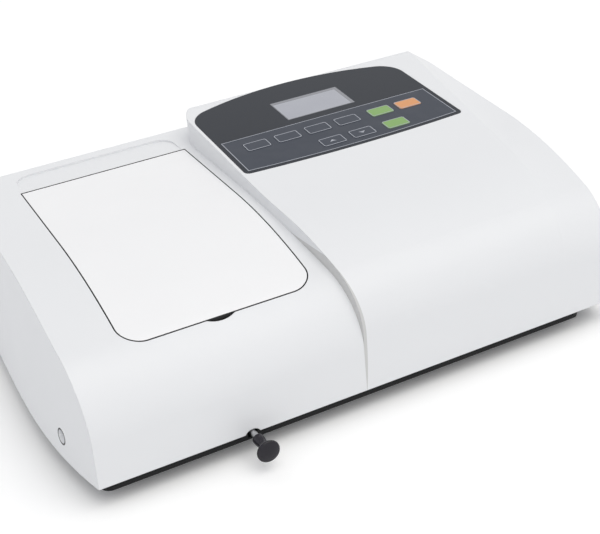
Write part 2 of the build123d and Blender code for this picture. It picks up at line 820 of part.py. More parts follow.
# Membrane panel sheet with its display and key openings
with BuildPart() as panel_overlay:
    with BuildSketch(panel_plane.offset(-panel_sheet)):
        add(panel_outline(0))
        with Locations(display_place):
            Rectangle(display_width, display_length, mode=Mode.SUBTRACT)
        with Locations(*[(x, on_panel(y)) for x, y in key_places]):
            RectangleRounded(key_width + 2 * key_gap, key_length + 2 * key_gap, key_round + key_gap, mode=Mode.SUBTRACT)
    extrude(amount=panel_sheet)
write(panel_overlay.part, "panel_overlay")

with BuildPart() as lcd_window:
    with BuildSketch(panel_plane.offset(-panel_sheet)):
        with Locations(display_place):
            Rectangle(display_width - 2 * pin_gap, display_length - 2 * pin_gap)
    extrude(amount=panel_sheet)
write(lcd_window.part, "lcd_window")

with BuildPart() as lcd_module:
    with BuildSketch(panel_plane.offset(-wall)):
        with Locations(display_place):
            Rectangle(display_width + 10, display_length + 8)
    extrude(amount=wall - board_drop)
    with BuildSketch(panel_plane.offset(-wall)):
        with Locations(display_place):
            Rectangle(display_width - 2 * display_lip - 1, display_length - 2 * display_lip - 1)
    extrude(amount=wall - panel_sheet - seat_gap)
write(lcd_module.part, "lcd_module")

with BuildPart() as keypad_board:
    with BuildSketch(panel_plane.offset(-board_drop)):
        with Locations((panel_left + board_left + board_width / 2, board_front + board_length / 2)):
            Rectangle(board_width, board_length)
        with Locations(*board_corners(post_radius + 2)):
            Circle(screw_radius, mode=Mode.SUBTRACT)
    extrude(amount=-board_sheet)
write(keypad_board.part, "keypad_board")

with BuildPart() as key_switches:
    with BuildSketch(panel_plane.offset(-board_drop)):
        with Locations(*[(x, on_panel(y)) for x, y in key_places]):
            Rectangle(switch_size, switch_size)
    extrude(amount=switch_height)
write(key_switches.part, "key_switches")

# Nine keys: a thin cap over a stem that reaches its switch
for number, (x, y) in enumerate(key_places, start=1):
    with BuildPart() as key:
        with BuildSketch(panel_plane.offset(key_proud)):
            with Locations((x, on_panel(y))):
                RectangleRounded(key_width, key_length, key_round)
        extrude(amount=-(panel_sheet + key_proud - key_travel - 2 * pin_gap))
        with BuildSketch(panel_plane.offset(-panel_sheet + key_travel + 2 * pin_gap)):
            with Locations((x, on_panel(y))):
                Rectangle(stem_width, stem_length)
        extrude(amount=-(board_drop - switch_height - panel_sheet))
        fillet(key.faces().sort_by(Axis.Z)[-1].edges(), 0.3)
    write(key.part, f"key_{number}")

# Steel rear panel with openings for the fan, inlet, switch, fuse and data port
with BuildPart() as rear_panel:
    with Locations((rear_middle, rear_y - wall - rear_sheet / 2, rear_level)):
        Box(rear_width + 2 * rear_lap, rear_sheet, rear_height + 2 * rear_lap)
    with Locations((fan_x, rear_y, fan_z)):
        Cylinder(fan_size / 2 - 2, 6 * wall, rotation=(90, 0, 0), mode=Mode.SUBTRACT)
    with Locations((inlet_x, rear_y, inlet_z)):
        Box(inlet_width + slide_gap, 6 * wall, inlet_height + slide_gap, mode=Mode.SUBTRACT)
    with Locations((inlet_x, rear_y, switch_z)):
        Box(switch_width + slide_gap, 6 * wall, switch_tall + slide_gap, mode=Mode.SUBTRACT)
    with Locations((fuse_x, rear_y, inlet_z)):
        Cylinder(fuse_radius + slide_gap, 6 * wall, rotation=(90, 0, 0), mode=Mode.SUBTRACT)
    with Locations((fuse_x, rear_y, switch_z)):
        Box(port_width + slide_gap, 6 * wall, port_tall + slide_gap, mode=Mode.SUBTRACT)
write(rear_panel.part, "rear_panel")

panel_back = rear_y - wall

# Mains inlet: flange on the rear panel, socket well with three blades
with BuildPart() as mains_inlet:
    with Locations((inlet_x, panel_back, inlet_z)):
        Box(inlet_width + 8, 2, inlet_height + 5, align=(Align.CENTER, Align.MIN, Align.CENTER))
        Box(inlet_width, inlet_depth, inlet_height, align=(Align.CENTER, Align.MAX, Align.CENTER))
        Box(inlet_width - 3, 2 * socket_depth, inlet_height - 3, mode=Mode.SUBTRACT)
    for place in (-1, 0, 1):
        with Locations((inlet_x + 7 * place, panel_back - socket_depth, inlet_z + 2 * abs(place) - 2)):
            Box(2, socket_depth - 6, 4, align=(Align.CENTER, Align.MIN, Align.CENTER))
write(mains_inlet.part, "mains_inlet")

# Frame of the mains switch and its rocker
with BuildPart() as switch_frame:
    with Locations((inlet_x, panel_back, switch_z)):
        Box(switch_width + 4, 1.5, switch_tall + 3, align=(Align.CENTER, Align.MIN, Align.CENTER))
        Box(switch_width, switch_deep, switch_tall, align=(Align.CENTER, Align.MAX, Align.CENTER))
        Box(switch_width - 4, 16, switch_tall - 3, mode=Mode.SUBTRACT)
write(switch_frame.part, "switch_frame")

with BuildPart() as power_rocker:
    with BuildSketch(Plane((inlet_x - rocker_width / 2, panel_back, switch_z), x_dir=(0, 1, 0), z_dir=(1, 0, 0))):
        with BuildLine():
            Polyline((-3, 3), (0.5, rocker_half), (2.6, rocker_half - 0.6), (0.4, 0), (3.4, -rocker_half + 0.9), (1.4, -rocker_half), (-3, -3), close=True)
        make_face()
    extrude(amount=rocker_width)
write(power_rocker.part, "power_rocker")

with BuildPart() as fuse_holder:
    with Locations((fuse_x, panel_back, inlet_z)):
        Cylinder(fuse_radius, 26, rotation=(90, 0, 0), align=(Align.CENTER, Align.CENTER, Align.MIN))
    with Locations((fuse_x, panel_back + 6, inlet_z)):
        Cylinder(fuse_radius + 1.5, 6, rotation=(90, 0, 0), align=(Align.CENTER, Align.CENTER, Align.MIN))
        Box(1.5, 4, 9, mode=Mode.SUBTRACT)
write(fuse_holder.part, "fuse_holder")

with BuildPart() as data_port:
    with Locations((fuse_x, panel_back, switch_z)):
        Box(port_width + 8, 1, port_tall + 2, align=(Align.CENTER, Align.MIN, Align.CENTER))
        Box(port_width, 12, port_tall, align=(Align.CENTER, Align.MAX, Align.CENTER))
        Box(port_width - 3, 12, port_tall - 3, mode=Mode.SUBTRACT)
write(data_port.part, "data_port")

fan_back = panel_back - rear_sheet

# Cooling fan behind the rear panel, with its wire guard outside
with BuildPart() as fan_frame:
    with Locations((fan_x, fan_back - fan_depth / 2, fan_z)):
        Box(fan_size, fan_depth, fan_size)
        Cylinder(fan_size / 2 - 2, 2 * fan_depth, rotation=(90, 0, 0), mode=Mode.SUBTRACT)
    with Locations((fan_x, fan_back - fan_depth, fan_z)):
        Cylinder(hub_radius, fan_web, rotation=(90, 0, 0), align=(Align.CENTER, Align.CENTER, Align.MAX))
        Cylinder(axle_radius, fan_depth - 2, rotation=(90, 0, 0), align=(Align.CENTER, Align.CENTER, Align.MAX))
    for turn in range(3):
        with Locations(Location((fan_x, fan_back - fan_depth, fan_z), (0, 120 * turn + 30, 0))):
            Box(fan_size / 2 - 1, fan_web, 4, align=(Align.MIN, Align.MIN, Align.CENTER))
write(fan_frame.part, "fan_frame")

with BuildPart() as fan_rotor:
    with Locations((fan_x, fan_back - fan_depth + fan_web + seat_gap, fan_z)):
        Cylinder(hub_radius, rotor_depth, rotation=(90, 0, 0), align=(Align.CENTER, Align.CENTER, Align.MAX))
    for turn in range(blade_count):
        with Locations(Location((fan_x, fan_back - fan_depth + fan_web + seat_gap + rotor_depth / 2, fan_z), (0, 360 / blade_count * turn, 0))):
            Box(fan_size / 2 - 3, 1.2, 14, rotation=(40, 0, 0), align=(Align.MIN, Align.CENTER, Align.CENTER))
    with BuildSketch(Plane((fan_x, fan_back - fan_depth + fan_web + seat_gap, fan_z), x_dir=(1, 0, 0), z_dir=(0, 1, 0))):
        Circle(fan_size / 2 - 3)
    extrude(amount=rotor_depth, mode=Mode.INTERSECT)
    with Locations((fan_x, fan_back - fan_depth, fan_z)):
        Cylinder(axle_radius + pin_gap, 2 * (fan_depth - 2), rotation=(90, 0, 0), mode=Mode.SUBTRACT)
write(fan_rotor.part, "fan_rotor")

with BuildPart() as fan_guard:
    for ring in range(4):
        with BuildSketch(Plane((fan_x, panel_back, fan_z), x_dir=(1, 0, 0), z_dir=(0, 1, 0))):
            Circle(7 + 7 * ring)
            Circle(5.6 + 7 * ring, mode=Mode.SUBTRACT)
        extrude(amount=1.4)
    for turn in (45, 135):
        with Locations((fan_x, panel_back + 0.7, fan_z)):
            Box(fan_size + 6, 1.4, 1.6, rotation=(0, turn, 0))
write(fan_guard.part, "fan_guard")

# Cast monochromator box with a beam port in each side wall
with BuildPart() as monochromator_base:
    with Locations((mono_middle, mono_front + mono_length / 2, tray_top)):
        Box(mono_width, mono_length, mono_height, align=(Align.CENTER, Align.CENTER, Align.MIN))
    with Locations((mono_middle, mono_front + mono_length / 2, tray_top + mono_wall)):
        Box(mono_width - 2 * mono_wall, mono_length - 2 * mono_wall, mono_height, align=(Align.CENTER, Align.CENTER, Align.MIN), mode=Mode.SUBTRACT)
    with Locations((mono_left, beam_y, beam_z), (mono_left + mono_width, slit_y, beam_z)):
        Cylinder(port_radius, 4 * mono_wall, rotation=(0, 90, 0), mode=Mode.SUBTRACT)
    with Locations((grating_x, grating_y, tray_top)):
        Cylinder(shaft_radius + pin_gap, 4 * mono_wall, mode=Mode.SUBTRACT)
write(monochromator_base.part, "monochromator_base")

with BuildPart() as monochromator_cover:
    with BuildSketch(Plane.XY.offset(tray_top + mono_height)):
        with Locations((mono_middle, mono_front + mono_length / 2)):
            Rectangle(mono_width, mono_length)
            with GridLocations(mono_width - 2 * mono_wall, mono_length - 2 * mono_wall, 2, 2):
                Circle(screw_radius, mode=Mode.SUBTRACT)
    extrude(amount=mono_lid)
write(monochromator_cover.part, "monochromator_cover")

# Slit plates on the inside of both beam ports
with BuildPart() as slit_plates:
    with Locations((mono_left + mono_wall + slit_sheet / 2, beam_y, beam_z), (mono_left + mono_width - mono_wall - slit_sheet / 2, slit_y, beam_z)):
        Box(slit_sheet, 20, 20)
        Box(2 * slit_sheet, 1, 10, mode=Mode.SUBTRACT)
write(slit_plates.part, "slit_plates")

# Collimating mirror in its holder on the box floor
with BuildPart() as collimating_mirror:
    with Locations((mono_left + mono_wall + 18, mono_front + mono_wall + 16, tray_top + mono_wall)):
        Box(8, 30, beam_z - tray_top - mono_wall + 16, rotation=(0, 0, -38), align=(Align.CENTER, Align.CENTER, Align.MIN))
write(collimating_mirror.part, "collimating_mirror")

# Turntable with its shaft, and the grating it carries
with BuildPart() as grating_table:
    with BuildSketch(Plane.XY.offset(tray_top + mono_wall + seat_gap)):
        with Locations((grating_x, grating_y)):
            Circle(table_radius)
    extrude(amount=table_height)
    with BuildSketch(Plane.XY.offset(tray_top + seat_gap)):
        with Locations((grating_x, grating_y)):
            Circle(shaft_radius)
    extrude(amount=mono_wall)
    with Locations((grating_x, grating_y - grating_sheet / 2 - 1.5, tray_top + mono_wall + seat_gap + table_height)):
        Box(grating_size + 4, 3, 14, align=(Align.CENTER, Align.CENTER, Align.MIN))
write(grating_table.part, "grating_table")

with BuildPart() as diffraction_grating:
    with Locations((grating_x, grating_y, tray_top + mono_wall + seat_gap + table_height)):
        Box(grating_size, grating_sheet, grating_size, align=(Align.CENTER, Align.CENTER, Align.MIN))
write(diffraction_grating.part, "diffraction_grating")

# Order-sorting filter wheel on its motor, in the beam beside the exit slit
with BuildPart() as filter_motor:
    with Locations((mono_left, wheel_y, wheel_z)):
        Cylinder(wheel_shaft, wheel_stand, rotation=(0, -90, 0), align=(Align.CENTER, Align.CENTER, Align.MIN))
        Cylinder(motor_radius, motor_length, rotation=(0, -90, 0), align=(Align.CENTER, Align.CENTER, Align.MIN))
write(filter_motor.part, "filter_motor")

with BuildPart() as filter_wheel:
    with BuildSketch(Plane((mono_left - motor_length - seat_gap, wheel_y, wheel_z), x_dir=(0, 1, 0), z_dir=(-1, 0, 0))):
        Circle(wheel_radius)
        Circle(wheel_shaft + pin_gap, mode=Mode.SUBTRACT)
        with PolarLocations(wheel_y_offset, filter_count, start_angle=180):
            Circle(port_radius - 1, mode=Mode.SUBTRACT)
    extrude(amount=wheel_sheet)
write(filter_wheel.part, "filter_wheel")

# Lamp in its holder, inside a folded steel house with a beam port
with BuildPart() as lamp_house:
    with Locations((lamp_x, lamp_y, tray_top)):
        Box(lamp_width, lamp_length, lamp_height, align=(Align.CENTER, Align.CENTER, Align.MIN))
        Box(lamp_width - 2 * lamp_wall, lamp_length - 2 * lamp_wall, lamp_height - lamp_wall, align=(Align.CENTER, Align.CENTER, Align.MIN), mode=Mode.SUBTRACT)
    with Locations((lamp_x - lamp_width / 2, slit_y, beam_z)):
        Cylinder(port_radius + 1, 6 * lamp_wall, rotation=(0, 90, 0), mode=Mode.SUBTRACT)
write(lamp_house.part, "lamp_house")

with BuildPart() as lamp_holder:
    with Locations((lamp_x, slit_y, tray_top)):
        Box(22, 22, 8, align=(Align.CENTER, Align.CENTER, Align.MIN))
        Cylinder(6, 8 + 4, align=(Align.CENTER, Align.CENTER, Align.MIN))
write(lamp_holder.part, "lamp_holder")

with BuildPart() as halogen_lamp:
    with BuildSketch(Plane((lamp_x, slit_y, tray_top + 12), x_dir=(1, 0, 0), z_dir=(0, -1, 0))):
        with BuildLine():
            Line((0, 0), (lamp_radius, 0))
            Line((lamp_radius, 0), (lamp_radius, bulb_height - lamp_radius))
            RadiusArc((lamp_radius, bulb_height - lamp_radius), (0, bulb_height), -lamp_radius)
            Line((0, bulb_height), (0, 0))
        make_face()
    revolve(axis=Axis((lamp_x, slit_y, tray_top), (0, 0, 1)))
write(halogen_lamp.part, "halogen_lamp")

# Condenser lens in its ring, against the monochromator's wall
with BuildPart() as lens_ring:
    with BuildSketch(Plane((mono_left + mono_width, slit_y, beam_z), x_dir=(0, 1, 0), z_dir=(1, 0, 0))):
        Circle(lens_radius + 3)
        Circle(lens_radius, mode=Mode.SUBTRACT)
    extrude(amount=lens_depth)
write(lens_ring.part, "lens_ring")

lens_rim = lens_radius - pin_gap
lens_ball = (lens_rim**2 + lens_crown**2) / (2 * lens_crown)
lens_turn = degrees(asin(lens_rim / lens_ball))

with BuildPart() as condenser_lens:
    with BuildSketch(Plane((mono_left + mono_width + 1, slit_y, beam_z), x_dir=(1, 0, 0), z_dir=(0, -1, 0))):
        with BuildLine():
            Line((0, 0), (0, lens_rim))
            Line((0, lens_rim), (lens_edge, lens_rim))
            CenterArc((lens_edge + lens_crown - lens_ball, 0), lens_ball, lens_turn, -lens_turn)
            Line((lens_edge + lens_crown, 0), (0, 0))
        make_face()
    revolve(axis=Axis((lamp_x, slit_y, beam_z), (1, 0, 0)))
write(condenser_lens.part, "condenser_lens")

# Photodiode box on the left of the sample compartment
with BuildPart() as detector_housing:
    with Locations((box_left, beam_y, tray_top)):
        Box(detector_depth, detector_width, detector_height, align=(Align.MAX, Align.CENTER, Align.MIN))
    with Locations((box_left, beam_y, beam_z)):
        Cylinder(port_radius, 2 * (detector_depth - 6), rotation=(0, 90, 0), mode=Mode.SUBTRACT)
write(detector_housing.part, "detector_housing")

with BuildPart() as photodiode:
    with BuildSketch(Plane((box_left - detector_depth + 6, beam_y, beam_z), x_dir=(0, 1, 0), z_dir=(1, 0, 0))):
        Circle(port_radius - 0.5)
    extrude(amount=3)
write(photodiode.part, "photodiode")

# Main circuit board on its posts, with its larger parts
with BuildPart() as board_posts:
    with BuildSketch(Plane.XY.offset(tray_top)):
        with Locations((main_board_x, main_board_y)):
            with GridLocations(main_board_width - 8, main_board_length - 8, 2, 2):
                Circle(post_radius)
    extrude(amount=board_post)
write(board_posts.part, "board_posts")

with BuildPart() as main_board:
    with BuildSketch(Plane.XY.offset(tray_top + board_post)):
        with Locations((main_board_x, main_board_y)):
            Rectangle(main_board_width, main_board_length)
    extrude(amount=board_sheet)
    with BuildSketch(Plane.XY.offset(tray_top + board_post + board_sheet)):
        with Locations((main_board_x - 20, main_board_y)):
            Rectangle(24, 24)
        with Locations((main_board_x + 25, main_board_y + 8)):
            Rectangle(14, 30)
        with Locations((main_board_x + 48, main_board_y - 6)):
            with GridLocations(11, 13, 2, 2):
                Circle(4)
    extrude(amount=7)
write(main_board.part, "main_board")

# Enclosed power supply at the rear right
with BuildPart() as power_supply:
    with Locations((supply_x, supply_y, tray_top)):
        Box(supply_width, supply_length, supply_height, align=(Align.CENTER, Align.CENTER, Align.MIN))
    fillet(power_supply.edges().filter_by(Axis.Y), 2)
write(power_supply.part, "power_supply")
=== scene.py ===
"""A visible spectrophotometer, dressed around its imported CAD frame.

Every size is in metres and every place is in the CAD's own frame: X to the right, Y to the rear, Z up.
"""

import functools
import logging
import math
from dataclasses import dataclass, field
from enum import Enum

import bmesh
import bpy
from mathutils import Matrix, Vector

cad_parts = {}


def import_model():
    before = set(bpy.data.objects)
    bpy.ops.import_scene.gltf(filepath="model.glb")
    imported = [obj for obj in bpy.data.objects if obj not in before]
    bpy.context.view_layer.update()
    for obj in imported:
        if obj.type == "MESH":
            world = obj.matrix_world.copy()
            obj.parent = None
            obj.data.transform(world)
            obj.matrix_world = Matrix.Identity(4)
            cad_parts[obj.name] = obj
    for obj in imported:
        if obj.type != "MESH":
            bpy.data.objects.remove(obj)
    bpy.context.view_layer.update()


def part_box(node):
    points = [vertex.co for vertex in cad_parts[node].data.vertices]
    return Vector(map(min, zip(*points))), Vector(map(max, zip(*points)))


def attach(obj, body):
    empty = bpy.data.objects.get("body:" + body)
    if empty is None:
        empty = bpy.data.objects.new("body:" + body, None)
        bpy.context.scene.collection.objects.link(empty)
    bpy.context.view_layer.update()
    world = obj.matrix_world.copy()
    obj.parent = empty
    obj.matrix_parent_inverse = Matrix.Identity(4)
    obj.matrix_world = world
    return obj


LOG = logging.getLogger("spectrophotometer")
MM = 0.001

# The screen's tone curve: a straight toe up to TOE_END, and a power above it.
TOE_END = 0.04045
TOE_SLOPE = 12.92
CURVE_SHIFT = 0.055
CURVE_POWER = 2.4

Colour = tuple[float, float, float]
Point = tuple[float, float]
Box = tuple[Vector, Vector]

BLACK: Colour = (0.0, 0.0, 0.0)
WHITE: Colour = (1.0, 1.0, 1.0)


def tone(code: str) -> Colour:
    """Turns a screen colour into the linear colour that the shader takes.

    Args:
        code: six hexadecimal digits, two each for red, green and blue.

    Returns:
        The linear red, green and blue.
    """
    linear = []
    for place in (0, 2, 4):
        part = int(code[place : place + 2], 16) / 255
        curved = ((part + CURVE_SHIFT) / (1 + CURVE_SHIFT)) ** CURVE_POWER
        linear.append(part / TOE_SLOPE if part <= TOE_END else curved)
    return tuple(linear)


def measure(box: Box, axes: str = "xy") -> tuple[Point, Point]:
    """A box's place and size along two axes.

    Args:
        box: its lowest and highest corners.
        axes: the two axes.

    Returns:
        Its middle, and half its size.
    """
    pairs = [(getattr(box[0], axis), getattr(box[1], axis)) for axis in axes]
    middle = tuple((low + high) / 2 for low, high in pairs)
    return middle, tuple((high - low) / 2 for low, high in pairs)


class Blend(Enum):
    """How one colour is laid over another."""

    MIX = "MIX"
    MULTIPLY = "MULTIPLY"


class Mixed(Enum):
    """What a Mix node mixes: its data type, and the places of its two inputs and its output."""

    VECTOR = ("VECTOR", 4, 5, 1)
    COLOUR = ("RGBA", 6, 7, 2)


class Ray(Enum):
    """What a ray was sent for, as the Light Path node calls it."""

    CAMERA = "Is Camera Ray"
    GLOSSY = "Is Glossy Ray"
    TRANSMISSION = "Is Transmission Ray"


class Value:
    """One output socket of a node tree, with the arithmetic that Math nodes do."""

    def __init__(self, nodes: "Nodes", socket: bpy.types.NodeSocket) -> None:
        """Keeps the tree and its socket."""
        self.nodes = nodes
        self.socket = socket

    def _math(self, operation: str, *terms: "Term") -> "Value":
        """Adds a Math node of one operation."""
        return self.nodes.node("ShaderNodeMath", {"operation": operation}, dict(enumerate(terms)))

    def __add__(self, other: "Term") -> "Value":
        """self + other."""
        return self._math("ADD", self, other)

    def __radd__(self, other: "Term") -> "Value":
        """other + self."""
        return self._math("ADD", other, self)

    def __sub__(self, other: "Term") -> "Value":
        """self - other."""
        return self._math("SUBTRACT", self, other)

    def __rsub__(self, other: "Term") -> "Value":
        """other - self."""
        return self._math("SUBTRACT", other, self)

    def __mul__(self, other: "Term") -> "Value":
        """self * other."""
        return self._math("MULTIPLY", self, other)

    def __rmul__(self, other: "Term") -> "Value":
        """other * self."""
        return self._math("MULTIPLY", other, self)

    def __truediv__(self, other: "Term") -> "Value":
        """self / other."""
        return self._math("DIVIDE", self, other)

    def __abs__(self) -> "Value":
        """The size of self without its sign."""
        return self._math("ABSOLUTE", self)

    def __gt__(self, other: "Term") -> "Value":
        """1 where self is above other, else 0."""
        return self._math("GREATER_THAN", self, other)

    def __lt__(self, other: "Term") -> "Value":
        """1 where self is below other, else 0."""
        return self._math("LESS_THAN", self, other)

    def repeat(self, length: float) -> "Value":
        """The remainder of self on a pitch of that length."""
        return self._math("FLOORED_MODULO", self, length)

    def largest(self, other: "Term") -> "Value":
        """The larger of self and other."""
        return self._math("MAXIMUM", self, other)


Term = Value | float
Feed = Value | float | tuple


class Nodes:
    """The node tree of a material or a world, built from calls that read as a recipe."""

    def __init__(self, owner: bpy.types.ID) -> None:
        """Starts with an empty tree.

        Args:
            owner: the material or the world that the tree belongs to.
        """
        owner.use_nodes = True
        self.tree = owner.node_tree
        self.tree.nodes.clear()

    def node(
        self,
        kind: str,
        settings: dict | None = None,
        inputs: dict | None = None,
        output: int | str | None = 0,
    ) -> Value | None:
        """Adds a node.

        Args:
            kind: the node's type.
            settings: what is set on the node before its sockets are fed.
            inputs: the value or link of each socket, by name or place.
            output: the output that the caller wants, or None for a node that ends the tree.

        Returns:
            That output as a Value, or None.
        """
        made = self.tree.nodes.new(kind)
        for key, setting in (settings or {}).items():
            if key == "stops":
                self._stops(made.color_ramp, setting)
            else:
                setattr(made, key, setting)
        for key, feed in (inputs or {}).items():
            self._feed(made.inputs[key], feed)
        return None if output is None else Value(self, made.outputs[output])

    def _stops(self, ramp: bpy.types.ColorRamp, stops: tuple[Point, Point]) -> None:
        """Sets a ramp's two grey stops.

        Args:
            ramp: the node's ramp.
            stops: the place and the grey level of each stop.
        """
        for element, (place, level) in zip(ramp.elements, stops, strict=True):
            element.position = place
            element.color = (level, level, level, 1)

    def _feed(self, socket: bpy.types.NodeSocket, feed: Feed) -> None:
        """Links a Value to a socket, or sets the socket to a number or colour.

        Args:
            socket: the input socket.
            feed: what goes into it.
        """
        if isinstance(feed, Value):
            self.tree.links.new(feed.socket, socket)
        elif isinstance(feed, tuple) and socket.type == "RGBA":
            socket.default_value = (*feed[:3], 1)
        else:
            socket.default_value = feed

    def mix(
        self,
        factor: Term,
        first: Feed,
        second: Feed,
        blend: Blend = Blend.MIX,
        mixed: Mixed = Mixed.COLOUR,
    ) -> Value:
        """One colour or vector laid over another.

        Args:
            factor: how much of the second shows.
            first: the one below.
            second: the one above.
            blend: the way they are laid together.
            mixed: what they are.

        Returns:
            The mixed colour or vector.
        """
        data_type, below, above, output = mixed.value
        settings = {"data_type": data_type, "blend_type": blend.value}
        return self.node("ShaderNodeMix", settings, {0: factor, below: first, above: second}, output)

    def ray(self, *rays: Ray) -> Value:
        """1 for a ray of one of those kinds, else 0."""
        levels = [self.node("ShaderNodeLightPath", output=ray.value) for ray in rays]
        return functools.reduce(Value.largest, levels)


class Shader(Nodes):
    """One material's nodes, with the textures that the finishes share."""

    def __init__(self, name: str) -> None:
        """Starts an empty material of that name."""
        self.material = bpy.data.materials.new(name)
        super().__init__(self.material)

    def place(self) -> Value:
        """The point on the surface, in metres in the object's own frame."""
        return self.node("ShaderNodeTexCoord", output="Object")

    def axes(self) -> tuple[Value, Value, Value]:
        """Splits the surface point's place.

        Returns:
            Its X, Y and Z.
        """
        split = self.node("ShaderNodeSeparateXYZ", inputs={0: self.place()})
        outputs = split.socket.node.outputs
        return tuple(Value(self, outputs[axis]) for axis in "XYZ")

    def noise(self, width: float, detail: float, stretch: tuple = (1, 1, 1)) -> Value:
        """Soft noise between 0 and 1.

        Args:
            width: the width of one blotch.
            detail: the octaves of finer noise.
            stretch: how much longer a blotch is along each axis.

        Returns:
            The noise's level.
        """
        widths = tuple(width * part for part in stretch)
        scaled = self.node("ShaderNodeVectorMath", {"operation": "DIVIDE"}, {0: self.place(), 1: widths})
        return self.node("ShaderNodeTexNoise", inputs={"Vector": scaled, "Scale": 1.0, "Detail": detail})

    def ramp(self, level: Value, stops: tuple[Point, Point]) -> Value:
        """A level passed through a ramp of two grey stops."""
        return self.node("ShaderNodeValToRGB", {"stops": stops}, {0: level})

    def drift(self, colour: Colour, width: float, fade: float, detail: float = 3.0) -> Value:
        """A colour that loses up to a share of itself, its fade, in wide patches."""
        faded = tuple(part * (1 - fade) for part in colour)
        return self.mix(self.noise(width, detail), faded, colour)

    def rounded(self, radius: float, samples: int = 6) -> Value:
        """The surface's normal with its edges eased over that radius."""
        return self.node("ShaderNodeBevel", {"samples": samples}, {"Radius": radius})

    def bump(self, height: Value, depth: float, normal: Value) -> Value:
        """A relief from 0 to 1, of that full depth, laid over another normal."""
        inputs = {"Height": height, "Distance": depth, "Strength": 1.0, "Normal": normal}
        return self.node("ShaderNodeBump", inputs=inputs)

    def surface(self, **inputs: Feed) -> bpy.types.Material:
        """Ends the material in a Principled shader.

        Args:
            **inputs: the shader's sockets, with underscores for spaces.

        Returns:
            The finished material.
        """
        sockets = {key.replace("_", " "): feed for key, feed in inputs.items()}
        closure = self.node("ShaderNodeBsdfPrincipled", inputs=sockets)
        self.node("ShaderNodeOutputMaterial", inputs={"Surface": closure}, output=None)
        return self.material


@dataclass(frozen=True)
class Blotches:
    """Soft blotches, which start at one level of a noise and are full at another."""

    width: float
    start: float
    full: float
    detail: float = 4.0

    def on(self, shader: Shader) -> Value:
        """0 on the bare ground, 1 in a full blotch."""
        stops = ((self.start, 0.0), (self.full, 1.0))
        return shader.ramp(shader.noise(self.width, self.detail), stops)


@dataclass(frozen=True)
class Grain:
    """A fine relief: the width and depth of one bump, its finer octaves, and its stretch on each axis."""

    width: float
    depth: float
    detail: float = 1.0
    stretch: tuple = (1, 1, 1)

    def level(self, shader: Shader) -> Value:
        """The relief's height, from 0 to 1."""
        return shader.noise(self.width, self.detail, self.stretch)

    def over(self, shader: Shader, normal: Value) -> Value:
        """The relief laid over another normal."""
        return shader.bump(self.level(shader), self.depth, normal)


class Metal(Enum):
    """The way a metal surface was worked, and the grain that this leaves."""

    BRUSHED = Grain(0.25 * MM, 0.012 * MM, detail=2.0, stretch=(40, 1, 1))
    CAST = Grain(0.9 * MM, 0.09 * MM, detail=2.0)
    BRIGHT = Grain(0.25 * MM, 0.004 * MM, detail=2.0, stretch=(6, 6, 1))


@dataclass(frozen=True)
class LidPlan:
    """The lid seen from above, square at the hinge and round at its front corners."""

    middle: Point
    half: Point
    radius: float = 17 * MM

    def mask(self, shader: Shader, reach: float) -> Value:
        """The plan, grown past the lid or drawn in.

        Args:
            shader: the material's nodes.
            reach: how far the plan grows, or draws in where it is below 0.

        Returns:
            1 inside the plan, else 0.
        """
        across, back, _ = shader.axes()
        sideways = abs(across - self.middle[0])
        inside = (sideways < self.half[0] + reach) * (abs(back - self.middle[1]) < self.half[1] + reach)
        past_side = sideways - (self.half[0] - self.radius)
        past_front = (self.middle[1] - self.half[1] + self.radius) - back
        outside = past_side * past_side + past_front * past_front > (self.radius + reach) ** 2
        return inside * (1 - (past_side > 0.0) * (past_front > 0.0) * outside)


@dataclass(frozen=True)
class MouldedPlastic:
    """A moulded plastic with a fine spark-eroded grain and faint handling marks."""

    name: str
    colour: Colour
    roughness: float = 0.5
    grain: Grain = Grain(0.45 * MM, 0.02 * MM)
    edge: float = 0.6 * MM
    mottle: float = 0.03
    mottle_width: float = 60 * MM
    smudge: Blotches = Blotches(22 * MM, 0.35, 0.7)
    smudge_roughness: float = 0.1
    coat: float = 0.0
    coat_roughness: float = 0.12
    shine: float = 0.5

    def material(self) -> bpy.types.Material:
        """Puts grain in the bump, smudges in the roughness and a faint drift in the colour.

        Returns:
            The material.
        """
        shader = Shader(self.name)
        smoothest = self.roughness - self.smudge_roughness / 2
        return shader.surface(
            Base_Color=shader.drift(self.colour, self.mottle_width, self.mottle),
            Roughness=smoothest + self.smudge_roughness * self.smudge.on(shader),
            Normal=self.grain.over(shader, shader.rounded(self.edge)),
            Coat_Weight=self.coat,
            Coat_Roughness=self.coat_roughness,
            Specular_IOR_Level=self.shine,
        )


@dataclass(frozen=True, kw_only=True)
class WhitePlastic:
    """The housing's white plastic, whose dust gathers in faint wide patches."""

    name: str
    colour: Colour
    grain: Grain = Grain(0.5 * MM, 0.014 * MM)
    fade: float = 0.025
    fade_width: float = 60 * MM
    smudge: Blotches = Blotches(22 * MM, 0.35, 0.7)
    roughness: float = 0.42
    smudge_roughness: float = 0.08

    def white(self, shader: Shader) -> Value:
        """The white with its patches."""
        return shader.drift(self.colour, self.fade_width, self.fade)

    def finished(self, shader: Shader, colour: Value, edges: Value) -> bpy.types.Material:
        """Ends the material with a fine grain and faint smudges.

        Args:
            shader: the material's nodes.
            colour: its colour.
            edges: the normal with its eased edges.

        Returns:
            The material.
        """
        return shader.surface(
            Base_Color=colour,
            Roughness=self.roughness + self.smudge_roughness * self.smudge.on(shader),
            Normal=self.grain.over(shader, edges),
        )


